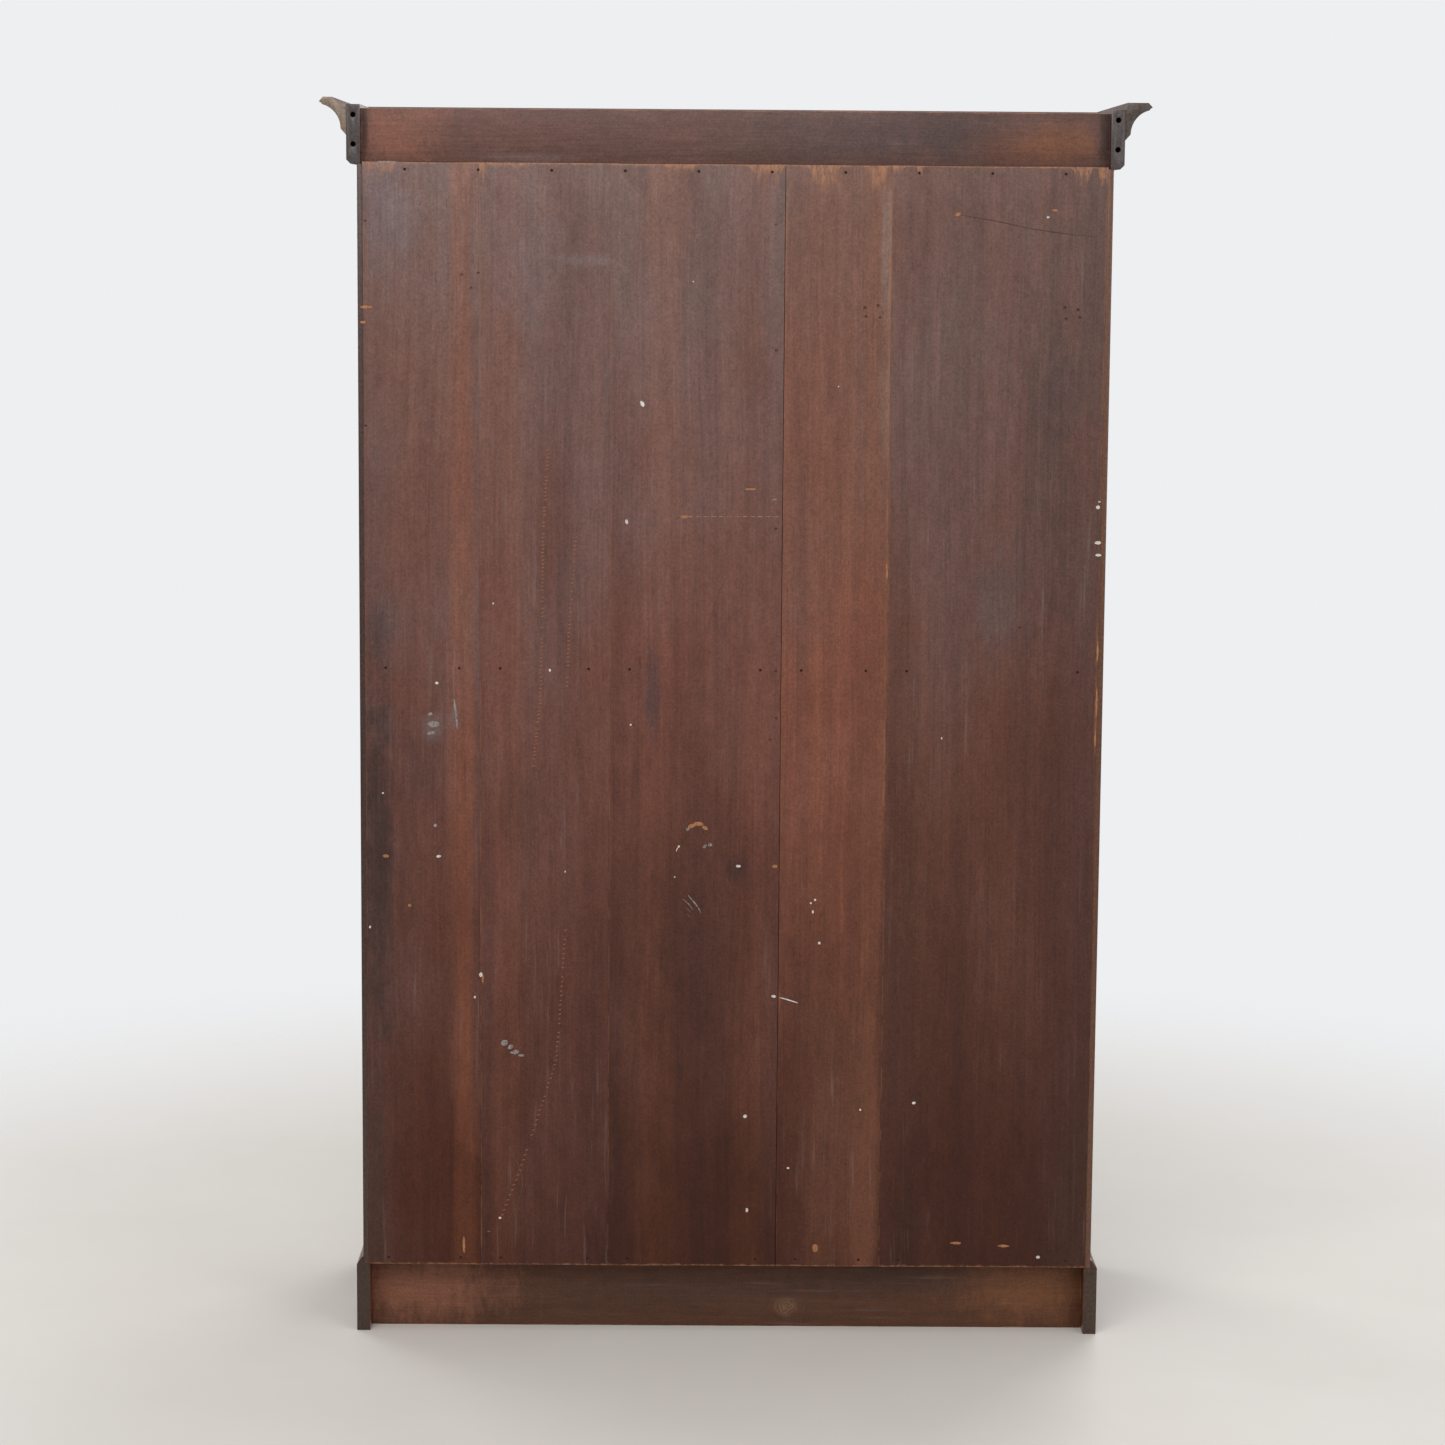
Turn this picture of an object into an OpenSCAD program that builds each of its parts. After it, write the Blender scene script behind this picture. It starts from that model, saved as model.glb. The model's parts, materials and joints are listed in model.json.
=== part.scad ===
// Curio cabinet: a glazed two-door display case on a plinth, under a coved cornice.
// Millimetres. +X is to the right and -Y to the front as one faces the doors, +Z is up.
// The origin is on the floor, under the middle of the cabinet's outer box.

/* [Overall size] */
// Width of the case over its two sides
case_w = 1092; // [905:1:1311]
// Depth of the case, from the face frame to the rear edges
case_d = 380; // [300:1:470]
// Height from the floor to the top of the crown
total_h = 1830; // [1520:1:2200]

/* [Boards] */
// Thickness of the plinth, frieze and rail boards
board_t = 20; // [18:0.5:26]
// Thickness of the case sides, top, bottom and fixed shelf
side_t = 22; // [18:0.5:28]
// Thickness of the boards that close the back
back_t = 10; // [8:0.5:14]
// Width of side edge left showing outside the back boards
back_lip = 8; // [5:0.5:12]
// Widths of the back boards from the right; the last one takes what is left
back_board_w = [168, 190, 252, 155]; // [80:1:260]
// Open gap between two back boards
back_gap = 1; // [0.5:0.1:3]
// Width of the lap by which one back board runs behind the next
back_lap = 9; // [5:0.5:14]
// How far a shelf or case board is let into the sides
housing = 6; // [4:0.5:9]

/* [Plinth] */
// Height at which the case sits on the plinth
plinth_h = 102; // [60:1:160]
// How far the plinth stands out from the case
plinth_proj = 10; // [9:0.5:17]
// Height of the bevelled lip above the seat of the case
plinth_lip_h = 12; // [6:0.5:18]
// How far the lip's bevel runs in
plinth_bevel = 8; // [3:0.5:8.5]
// How far the plinth's back board is set in from the rear
plinth_recess = 32; // [0:1:60]

/* [Cornice] */
// How far the frieze stands out from the case
frieze_proj = 15; // [8:0.5:17]
// Height of the frieze boards
frieze_h = 85; // [70:1:120]
// Bevel along the frieze's lower outer edge
frieze_bevel = 6; // [2:0.5:8]
// Height of the back rail between the frieze ends
rail_h = 80; // [60:1:84]
// How far the back rail is set in from the rear
rail_recess = 12; // [10.5:0.5:30]
// Height of the crown moulding
crown_h = 54; // [52:0.5:64]
// How far the crown stands out from the frieze
crown_proj = 39; // [36:0.5:42]
// How far the crown's top is above the frieze
crown_rise = 10; // [4:0.5:16]
// Radius of the crown's cove
cove_r = 35; // [33:0.5:36]
// How far the foot of the crown stands out
crown_foot = 8; // [5:0.5:9]
// Radius of the fixing holes in the rear ends of the frieze
fixing_r = 4; // [2:0.25:5]
// Depth of the fixing holes
fixing_depth = 40; // [20:1:60]
// Distance between the two fixing holes in an end
fixing_pitch = 42; // [30:1:50]
// Distance from the top of the frieze to the upper hole
fixing_drop = 15; // [10:1:20]

/* [Face frame and doors] */
// Width of the face frame's stiles
frame_stile_w = 38; // [34:1:60]
// Height of the face frame's top rail
frame_rail_h = 40; // [30:1:60]
// Thickness of the doors
door_t = 22; // [22:0.5:26]
// Width of the door stiles
stile_w = 55; // [50:1:75]
// Height of the doors' top rails
top_rail_h = 60; // [45:1:90]
// Height of the doors' bottom rails
bottom_rail_h = 80; // [50:1:120]
// Gap round the doors and between them
door_gap = 2; // [1.5:0.1:3]
// Gap under the doors
door_floor_gap = 4; // [2:0.5:8]
// Length of the tenons
tenon_l = 30; // [15:1:40]
// Thickness of the tenons
tenon_t = 7; // [5:0.5:8]
// Width of the rebate that holds the glass
rebate_w = 8; // [6:0.5:10]
// Depth of solid wood in front of the glass
rebate_front = 10; // [9:0.5:11]
// Thickness of the glass
glass_t = 3; // [2:0.5:4]
// Width of the glazing bars
bar_w = 18; // [12:1:24]
// Height of the small upper lights
upper_light_h = 300; // [150:1:400]

/* [Shelves] */
// Thickness of the loose shelves
shelf_t = 18; // [15:0.5:24]
// Distance from the cabinet's face to the shelves' front edges
shelf_setback = 45; // [40:1:60]
// Height of the underside of the fixed shelf
fixed_shelf_z = 993; // [900:1:1080]
// Clearance round a loose shelf
shelf_gap = 1; // [0.5:0.1:2]
// Pitch of the notches in the shelf racks
rack_pitch = 25; // [20:1:32]
// Depth of the notches
rack_tooth = 12; // [8:1:15]
// Width of a rack behind its notches
rack_back = 20; // [14:1:26]
// Thickness of the racks and of the shelf rests
rack_t = 12; // [8:0.5:15]
// Height of the shelf rests
rest_h = 15; // [10:1:18]
// Notch that carries the lower shelf
lower_notch = 10; // [6:1:12]
// Notch that carries the middle shelf
middle_notch = 21; // [18:1:25]
// Notch that carries the upper shelf
upper_notch = 13; // [9:1:13]

/* [Hardware] */
// Height of a hinge
hinge_h = 76; // [60:1:100]
// Distance from a door's end to the middle of its end hinge
hinge_inset = 150; // [100:1:250]
// Outer radius of a hinge knuckle
knuckle_r = 3.5; // [3:0.1:4]
// Radius of a hinge pin
pin_r = 1.6; // [1.2:0.1:2]
// Running clearance round a hinge pin
pin_gap = 0.05; // [0.02:0.01:0.1]
// Thickness of a hinge leaf
leaf_t = 1.5; // [1:0.1:1.8]
// Depth of a hinge leaf behind the cabinet's face
leaf_w = 16; // [12:1:18]
// Height of the keyhole
key_z = 890; // [800:1:960]
// Distance from the keyhole up to the knobs
knob_rise = 70; // [50:1:120]
// Throw of the lock bolt
lock_throw = 10; // [6:0.5:12]
// Throw of the flush bolts
bolt_throw = 12; // [8:0.5:14]
// Radius of a flush bolt's rod
rod_r = 3; // [2.5:0.1:3.5]
// Clearance between parts that slide
slide_gap = 0.3; // [0.2:0.05:0.5]

/* [Hidden] */

mahogany = [0.33, 0.17, 0.11];
pale_wood = [0.50, 0.33, 0.22];
aged_wood = [0.42, 0.26, 0.19];
brass = [0.72, 0.58, 0.32];
steel = [0.45, 0.43, 0.41];
clear_glass = [0.80, 0.90, 0.90, 0.35];

// Longer than any cut needs to be
beyond = 200;
// How far a cut runs past the face it opens
past = 1;

x_case = case_w / 2;
x_inner = x_case - side_t;
x_open = x_case - frame_stile_w;
y_back = (case_d + frieze_proj + crown_proj) / 2;
y_face = y_back - case_d;
y_inner = y_back - back_t;
y_frame = y_face + board_t;
y_shelf = y_face + shelf_setback;
// The back boards stand up beside the frieze ends, so they keep clear of their inner faces
lip = max(back_lip, board_t - frieze_proj);

z_cornice = total_h - crown_rise - frieze_h;
z_floor = plinth_h + side_t;
z_ceiling = z_cornice - side_t;
z_fixed_top = fixed_shelf_z + side_t;
z_crown = total_h - crown_h;

// Doors. The right door is drawn, and the left one is its mirror image.
door_z0 = z_floor + door_floor_gap;
door_z1 = z_cornice - frame_rail_h - door_gap;
door_x0 = door_gap / 2;
door_x1 = x_open - door_gap;
light_x0 = door_x0 + stile_w;
light_x1 = door_x1 - stile_w;
light_z0 = door_z0 + bottom_rail_h;
light_z1 = door_z1 - top_rail_h;
door_back = y_face + door_t;
glass_y = y_face + rebate_front;
bar_z = light_z1 - upper_light_h - bar_w;
// Open joint at the ends of the upright glazing beads
butt_gap = 0.2;

// Hinges
hinge_x = x_open - door_gap / 2;
hinge_y = y_face - knuckle_r - 0.5;
hinge_zs = [door_z0 + hinge_inset, (door_z0 + door_z1) / 2, door_z1 - hinge_inset];
knuckles = 5;
knuckle_gap = 0.3;
knuckle_h = (hinge_h - (knuckles - 1) * knuckle_gap) / knuckles;
leaf_gap = 0.4;
screw_r = 1.4;
screw_head_r = 2.7;
screw_l = 15;

// Lock, in the right door's meeting stile
key_x = door_x0 + 23;
key_r = 2.2;
bit_reach = 8;
lock_w = 36;
lock_y0 = y_face + 5;
lock_t = 12;
lock_below = 20;
lock_above = 40;
lock_wall = 1.5;
lock_bolt_h = 14;
lock_bolt_t = 7;
lock_bolt_z = key_z + bit_reach + 1;
lock_bolt_y = lock_y0 + (lock_t - lock_bolt_t) / 2;
lock_bolt_l = lock_throw + 20;
strike_margin = 14;

// Flush bolts, in the left door's meeting stile
bolt_x = -door_x0 - stile_w / 2;
bolt_y = y_face + 13;
bolt_rod_l = 120;
bolt_stud_drop = 100;
bolt_sunk = 2;
bolt_hole_depth = bolt_throw + 2;
stud_r = 2.2;
plate_w = 16;
plate_t = 1.5;
plate_margin = 20;

nail_r = 1.2;
nail_head_r = 2.6;
nail_l = 32;
top_nails = 10;
nail_edge = 69;

module block(lo, hi) {
    translate(lo) cube(hi - lo);
}

// The right-hand half of a pair when side is 1, the left-hand half when it is -1
module handed(side) {
    if (side > 0) children();
    else mirror([1, 0, 0]) children();
}

// A moulding along the front, mitred at both ends.
// Its profile gives the distance out from the case and the height.
module front_run() {
    half = x_case + beyond;
    intersection() {
        translate([-half, y_face, 0]) mirror([0, 1, 0]) rotate([90, 0, 90])
            linear_extrude(2 * half) children();
        linear_extrude(total_h)
            polygon([[-x_case - beyond, y_face - beyond], [x_case + beyond, y_face - beyond],
                [x_case - beyond, y_face + beyond], [beyond - x_case, y_face + beyond]]);
    }
}

// A moulding along one side, mitred at the front and square at the rear
module side_run(side) {
    handed(side) intersection() {
        translate([x_case, y_back, 0]) rotate([90, 0, 0])
            linear_extrude(case_d + beyond) children();
        linear_extrude(total_h)
            polygon([[x_case - beyond, y_face + beyond], [x_case + beyond, y_face - beyond],
                [x_case + beyond, y_back], [x_case - beyond, y_back]]);
    }
}

module plinth_profile() {
    polygon([[plinth_proj - board_t, 0], [plinth_proj, 0], [plinth_proj, plinth_h],
        [plinth_proj - plinth_bevel, plinth_h + plinth_lip_h], [0, plinth_h + plinth_lip_h],
        [0, plinth_h], [plinth_proj - board_t, plinth_h]]);
}

module frieze_profile() {
    translate([0, z_cornice])
        polygon([[frieze_proj - board_t, 0], [frieze_proj - frieze_bevel, 0],
            [frieze_proj, frieze_bevel], [frieze_proj, frieze_h],
            [frieze_proj - board_t, frieze_h]]);
}

// The crown's cove is cut from a block. top_in is how far out its flat top starts.
module crown_profile(top_in) {
    foot_h = 9.5;
    nose_h = 6.5;
    nose_in = 6;
    under_in = 4;
    under_h = 9;
    back_h = crown_h - 17;
    translate([frieze_proj, z_crown]) difference() {
        polygon([[0, 0], [crown_foot, 9], [crown_foot, foot_h], [crown_proj - under_in, foot_h],
            [crown_proj - under_in, crown_h - under_h], [crown_proj, crown_h - nose_h],
            [crown_proj - nose_in, crown_h], [top_in, crown_h], [0, back_h]]);
        translate([crown_foot + cove_r, foot_h]) circle(r = cove_r, $fn = 96);
    }
}

// Plinth
module plinth_front() {
    color(mahogany) front_run() plinth_profile();
}

module plinth_side(side) {
    color(mahogany) side_run(side) plinth_profile();
}

module plinth_back() {
    x = x_case + plinth_proj - board_t;
    y = y_back - plinth_recess;
    head_room = 2;
    color(pale_wood) block([-x, y - board_t, 0], [x, y, plinth_h - head_room]);
}

// Triangular blocks glued into the corners of the plinth and of the cornice
module glue_blocks() {
    leg = 40;
    plinth_in = board_t - plinth_proj;
    frieze_in = board_t - frieze_proj;
    block_h = 60;
    color(pale_wood) for (side = [-1, 1]) handed(side) {
        corner_block(x_case - plinth_in, y_face + plinth_in, 1, leg, block_h, 10);
        corner_block(x_case - plinth_in, y_back - plinth_recess - board_t, -1, leg, block_h, 10);
        corner_block(x_case - frieze_in, y_face + frieze_in, 1, leg, block_h, z_cornice);
        corner_block(x_case - frieze_in, y_back - rail_recess - board_t, -1, leg, block_h,
            z_cornice);
    }
}

module corner_block(x, y, into, leg, height, z) {
    translate([0, 0, z]) linear_extrude(height)
        polygon([[x, y], [x - leg, y], [x, y + into * leg]]);
}

// Case
module side(side) {
    depth = housing;
    color(mahogany) handed(side) difference() {
        block([x_inner, y_frame, plinth_h], [x_case, y_back, z_cornice]);
        block([x_inner - past, y_inner, plinth_h - past],
            [x_case - lip, y_back + past, z_cornice + past]);
        block([x_inner - past, y_frame - past, plinth_h - past],
            [x_inner + depth, y_inner + past, z_floor]);
        block([x_inner - past, y_frame - past, z_ceiling],
            [x_inner + depth, y_inner + past, z_cornice + past]);
        block([x_inner - past, y_shelf, fixed_shelf_z],
            [x_inner + depth, y_inner + past, z_fixed_top]);
    }
}

module case_top() {
    x = x_inner + housing;
    color(mahogany) block([-x, y_frame, z_ceiling], [x, y_inner, z_cornice]);
}

module case_bottom() {
    x = x_inner + housing;
    color(mahogany) difference() {
        union() {
            block([-x, y_frame, plinth_h], [x, y_inner, z_floor]);
            block([-x_open, y_face, plinth_h], [x_open, y_frame + past, z_floor]);
        }
        translate([bolt_x, bolt_y, z_floor - bolt_hole_depth])
            cylinder(r = rod_r + 2 * slide_gap, h = bolt_hole_depth + past, $fn = 48);
    }
}

// Face frame
module frame_stile(side) {
    mortise_z = z_cornice - frame_rail_h;
    color(mahogany) handed(side) difference() {
        block([x_open, y_face, plinth_h], [x_case, y_frame, z_cornice]);
        block([x_open - past, y_face + (board_t - tenon_t) / 2, mortise_z],
            [x_open + tenon_l, y_face + (board_t + tenon_t) / 2, z_cornice - 8]);
        leaf_mortises(1);
    }
}

module frame_rail_top() {
    z = z_cornice - frame_rail_h;
    color(mahogany) difference() {
        union() {
            block([-x_open, y_face, z], [x_open, y_frame, z_cornice]);
            block([-x_open - tenon_l, y_face + (board_t - tenon_t) / 2, z],
                [x_open + tenon_l, y_face + (board_t + tenon_t) / 2, z_cornice - 8]);
        }
        translate([bolt_x, bolt_y, z - past])
            cylinder(r = rod_r + 2 * slide_gap, h = bolt_hole_depth + past, $fn = 48);
    }
}

// Back boards, counted from the right. Each laps behind the next one.
function board_right(i) = i == 0 ? x_case - lip
    : board_right(i - 1) - back_board_w[i - 1];
back_boards = len(back_board_w) + 1;

module back_board(i) {
    last = i == back_boards - 1;
    right = board_right(i) - (i == 0 ? 0 : back_gap);
    left = last ? lip - x_case : board_right(i + 1);
    y_lap = y_back - back_t / 2;
    z0 = plinth_h + 1;
    z1 = z_cornice + 3;
    color(aged_wood) {
        block([left, y_lap, z0], [right, y_back, z1]);
        block([last ? left : left - back_lap, y_inner, z0],
            [i == 0 ? right : right - back_lap, y_lap, z1]);
    }
}

module nail(x, z) {
    translate([x, y_back, z]) rotate([90, 0, 0]) {
        cylinder(r = nail_head_r, h = 1, $fn = 24);
        cylinder(r = nail_r, h = nail_l, $fn = 24);
    }
}

module back_nails() {
    span = case_w - 2 * nail_edge;
    color(steel) {
        for (i = [0 : top_nails - 1])
            nail(nail_edge - x_case + i * span / (top_nails - 1), z_cornice - side_t / 3);
        for (i = [0 : back_boards - 1], z = [plinth_h + side_t / 2, fixed_shelf_z + side_t / 2]) {
            left = i == back_boards - 1 ? lip - x_case : board_right(i + 1);
            nail(left + 30, z);
            nail(board_right(i) - 30, z);
        }
    }
}

// Shelves
function notch_z(start, n) = start + n * rack_pitch;

module shelf_fixed() {
    x = x_inner + housing;
    color(mahogany) block([-x, y_shelf, fixed_shelf_z], [x, y_inner, z_fixed_top]);
}

// A loose shelf that lies on the rests of one notch, notched round the racks
module shelf(z_rest) {
    z0 = z_rest + rest_h;
    x = x_inner - shelf_gap;
    y = y_inner - shelf_gap;
    rack_y = rack_back + rack_tooth + shelf_gap;
    color(mahogany) difference() {
        block([-x, y_shelf, z0], [x, y, z0 + shelf_t]);
        for (side = [-1, 1]) handed(side) {
            block([x_inner - rack_t - shelf_gap, y_shelf - past, z0 - past],
                [x + past, y_frame + rack_y, z0 + shelf_t + past]);
            block([x_inner - rack_t - shelf_gap, y_inner - rack_y, z0 - past],
                [x + past, y + past, z0 + shelf_t + past]);
        }
    }
}

// Sawtooth edge: each notch has a level ledge and a slanting roof
function rack_points(length) =
    let (count = floor(length / rack_pitch))
    concat([[0, 0], [rack_back, 0]],
        [for (k = [1 : count], end = [1, 0])
            [rack_back + end * rack_tooth, k * rack_pitch]],
        [[rack_back + rack_tooth * (length - count * rack_pitch) / rack_pitch, length],
            [0, length]]);

module rack(z0, z1) {
    translate([x_inner - rack_t, 0, z0]) rotate([90, 0, 90]) linear_extrude(rack_t)
        polygon(rack_points(z1 - z0));
}

module shelf_racks() {
    color(pale_wood) for (side = [-1, 1]) handed(side)
        for (span = [[z_floor, fixed_shelf_z], [z_fixed_top, z_ceiling]]) {
            translate([0, y_frame, 0]) rack(span[0], span[1]);
            translate([0, y_inner, 0]) mirror([0, 1, 0]) rack(span[0], span[1]);
        }
}

// A rest drops into two facing notches, so its ends follow their slanting roofs
module rest_pair(z) {
    reach = rack_tooth * rest_h / rack_pitch + slide_gap;
    y0 = y_frame + rack_back + slide_gap;
    y1 = y_inner - rack_back - slide_gap;
    for (side = [-1, 1]) handed(side)
        translate([x_inner - rack_t, 0, z]) rotate([90, 0, 90]) linear_extrude(rack_t)
            polygon([[y0, 0], [y1, 0], [y1 - reach, rest_h], [y0 + reach, rest_h]]);
}

module shelf_rests() {
    color(pale_wood) {
        rest_pair(notch_z(z_floor, lower_notch));
        rest_pair(notch_z(z_floor, middle_notch));
        rest_pair(notch_z(z_fixed_top, upper_notch));
    }
}

// Cornice
module frieze_front() {
    color(mahogany) front_run() frieze_profile();
}

module frieze_side(side) {
    x = x_case + frieze_proj - board_t / 2;
    z = z_cornice + frieze_h - fixing_drop;
    color(mahogany) difference() {
        side_run(side) frieze_profile();
        handed(side) for (drop = [0, fixing_pitch])
            translate([x, y_back + past, z - drop]) rotate([90, 0, 0])
                cylinder(r = fixing_r, h = fixing_depth + past, $fn = 48);
    }
}

module cornice_back_rail() {
    x = x_case + frieze_proj - board_t;
    y = y_back - rail_recess;
    color(pale_wood) block([-x, y - board_t, z_cornice], [x, y, z_cornice + rail_h]);
}

module crown_front() {
    color(mahogany) front_run() crown_profile(20);
}

module crown_side(side, top_in) {
    color(mahogany) side_run(side) crown_profile(top_in);
}

// Doors
function tenon_y(part) = y_face + part * tenon_t + 0.5;

module rebate() {
    block([light_x0 - rebate_w, glass_y, light_z0 - rebate_w],
        [light_x1 + rebate_w, door_back + past, light_z1 + rebate_w]);
}

module rail_tenons(grow) {
    for (z = [[door_z0 + 12, light_z0 - rebate_w - 4], [light_z1 + rebate_w + 4, door_z1 - 12]])
        block([light_x0 - tenon_l - grow, tenon_y(0) + 2 - grow, z[0] - grow],
            [light_x1 + tenon_l + grow, tenon_y(1) + 2 + grow, z[1] + grow]);
}

module hinge_stile(side) {
    color(mahogany) handed(side) difference() {
        block([light_x1, y_face, door_z0], [door_x1, door_back, door_z1]);
        rebate();
        rail_tenons(0.1);
        leaf_mortises(-1);
    }
}

module meeting_stile(side) {
    color(mahogany) difference() {
        handed(side) difference() {
            block([door_x0, y_face, door_z0], [light_x0, door_back, door_z1]);
            rebate();
            rail_tenons(0.1);
            knob_hole();
        }
        if (side > 0) lock_mortise();
        else {
            strike_pocket();
            bolt_mortise();
            upside_down() bolt_mortise();
        }
    }
}

module door_rail(side, z0, z1) {
    color(mahogany) handed(side) difference() {
        union() {
            block([light_x0, y_face, z0], [light_x1, door_back, z1]);
            intersection() {
                rail_tenons(0);
                block([door_x0, y_face, z0], [door_x1, door_back, z1]);
            }
        }
        rebate();
    }
}

module glazing_bars(side) {
    front = y_face + 1;
    third = (light_x1 - light_x0) / 3;
    color(mahogany) handed(side) {
        block([light_x0, front, bar_z], [light_x1, glass_y, bar_z + bar_w]);
        for (i = [1, 2]) {
            x = light_x0 + i * third;
            block([x - bar_w / 2, front, bar_z + bar_w - 0.01], [x + bar_w / 2, glass_y, light_z1]);
        }
    }
}

module glass(side) {
    edge = rebate_w - 1;
    color(clear_glass) handed(side)
        block([light_x0 - edge, glass_y, light_z0 - edge],
            [light_x1 + edge, glass_y + glass_t, light_z1 + edge]);
}

// Four square beads behind the glass, the upright ones between the others
module glazing_beads(side) {
    y0 = glass_y + glass_t;
    x0 = light_x0 - rebate_w;
    x1 = light_x1 + rebate_w;
    z0 = light_z0 - rebate_w;
    z1 = light_z1 + rebate_w;
    color(mahogany) handed(side) {
        for (x = [x0, x1 - rebate_w])
            block([x, y0, z0 + rebate_w + butt_gap],
                [x + rebate_w, door_back, z1 - rebate_w - butt_gap]);
        for (z = [z0, z1 - rebate_w]) block([x0, y0, z], [x1, door_back, z + rebate_w]);
    }
}

knob_x = door_x0 + stile_w / 2;
knob_z = key_z + knob_rise;
knob_shank_r = 4;
knob_shank_l = 14;
shank_gap = 0.1;

module knob_hole() {
    translate([knob_x, y_face - past, knob_z]) rotate([-90, 0, 0])
        cylinder(r = knob_shank_r + shank_gap, h = knob_shank_l + past, $fn = 48);
}

module knob(side) {
    knob_r = 13;
    neck_r = 5;
    knob_out = 25;
    color(brass) handed(side) translate([knob_x, y_face, knob_z]) rotate([90, 0, 0]) {
        translate([0, 0, -knob_shank_l]) cylinder(r = knob_shank_r, h = knob_shank_l, $fn = 48);
        cylinder(r = 10, h = 2, $fn = 48);
        translate([0, 0, 2]) cylinder(r1 = neck_r + 2, r2 = neck_r, h = 8, $fn = 48);
        translate([0, 0, 10]) cylinder(r1 = neck_r, r2 = knob_r, h = 6, $fn = 48);
        translate([0, 0, 16]) cylinder(r = knob_r, h = 3, $fn = 48);
        translate([0, 0, 19]) cylinder(r1 = knob_r, r2 = 7, h = knob_out - 19, $fn = 48);
    }
}

// Hinges. The case's leaf faces +X when to is 1, the door's faces -X when to is -1.
module leaf(to, own_first) {
    x_near = hinge_x + to * leaf_gap / 2;
    x_far = x_near + to * leaf_t;
    x_lo = min(x_near, x_far);
    for (z = hinge_zs) difference() {
        union() {
            block([x_lo, y_face - 0.2, z - hinge_h / 2],
                [x_lo + leaf_t, y_face + leaf_w, z + hinge_h / 2]);
            for (k = [own_first : 2 : knuckles - 1]) {
                kz = z - hinge_h / 2 + k * (knuckle_h + knuckle_gap);
                translate([hinge_x, hinge_y, kz]) cylinder(r = knuckle_r, h = knuckle_h, $fn = 48);
                block([x_lo, hinge_y + pin_r, kz], [x_lo + leaf_t, y_face, kz + knuckle_h]);
            }
        }
        translate([hinge_x, hinge_y, z - hinge_h])
            cylinder(r = pin_r + pin_gap, h = 2 * hinge_h, $fn = 48);
        screw_places(to, z) screw_shape(screw_r + 0.1, screw_head_r + 0.1);
    }
}

// Pockets for the leaves in the frame (to is 1) or in the door's edge (to is -1)
module leaf_mortises(to) {
    deep = leaf_gap / 2 + leaf_t - door_gap / 2;
    edge = hinge_x + to * door_gap / 2;
    for (z = hinge_zs)
        block([min(edge - to * past, edge + to * deep), y_face - past, z - hinge_h / 2],
            [max(edge - to * past, edge + to * deep), y_face + leaf_w, z + hinge_h / 2]);
}

module screw_places(to, z) {
    for (dz = [-1, 0, 1])
        translate([hinge_x + to * leaf_gap / 2, y_face + leaf_w / 2, z + dz * hinge_h / 3])
            rotate([0, to * 90, 0]) children();
}

// A countersunk screw whose head starts at the origin
module screw_shape(r, head_r) {
    head_h = leaf_t * 0.8;
    cylinder(r1 = head_r, r2 = r, h = head_h, $fn = 32);
    cylinder(r = r, h = screw_l, $fn = 32);
}

module hinge_leaves_case() {
    color(brass) for (side = [-1, 1]) handed(side) leaf(1, 0);
}

module hinge_leaves_door(side) {
    color(brass) handed(side) leaf(-1, 1);
}

module hinge_pins() {
    tip = 2.5;
    color(brass) for (side = [-1, 1]) handed(side) for (z = hinge_zs)
        translate([hinge_x, hinge_y, z - hinge_h / 2]) {
            cylinder(r = pin_r, h = hinge_h, $fn = 48);
            for (tip_z = [-tip, hinge_h])
                translate([0, 0, tip_z]) cylinder(r = knuckle_r - 0.5, h = tip, $fn = 48);
        }
}

module hinge_screws() {
    color(brass) for (side = [-1, 1]) handed(side) for (z = hinge_zs)
        screw_places(1, z) screw_shape(screw_r, screw_head_r);
}

// Lock
module lock_mortise() {
    block([door_x0 - past, lock_y0, key_z - lock_below],
        [door_x0 + lock_w, lock_y0 + lock_t, key_z + lock_above]);
    keyhole(y_face - past, lock_y0 + past);
}

module keyhole(y0, y1) {
    translate([key_x, y0, key_z]) rotate([-90, 0, 0])
        cylinder(r = key_r + slide_gap + 0.5, h = y1 - y0, $fn = 48);
    block([key_x - 1.8, y0, key_z - bit_reach - 1], [key_x + 1.8, y1, key_z]);
}

module lock_case() {
    color(steel) difference() {
        block([door_x0, lock_y0, key_z - lock_below],
            [door_x0 + lock_w, lock_y0 + lock_t, key_z + lock_above]);
        block([door_x0 + lock_wall, lock_y0 + lock_wall, key_z - lock_below + lock_wall],
            [door_x0 + lock_w - lock_wall, lock_y0 + lock_t - lock_wall,
                key_z + lock_above - lock_wall]);
        bolt_clear(door_x0 - past, door_x0 + lock_wall + past);
        keyhole(lock_y0 - past, lock_y0 + lock_wall + past);
    }
}

// Room for the lock bolt between two places in x
module bolt_clear(x0, x1) {
    block([x0, lock_bolt_y - slide_gap, lock_bolt_z - slide_gap],
        [x1, lock_bolt_y + lock_bolt_t + slide_gap, lock_bolt_z + lock_bolt_h + slide_gap]);
}

module lock_bolt() {
    x0 = door_x0 + 0.5;
    color(brass) block([x0, lock_bolt_y, lock_bolt_z],
        [x0 + lock_bolt_l, lock_bolt_y + lock_bolt_t, lock_bolt_z + lock_bolt_h]);
}

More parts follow.
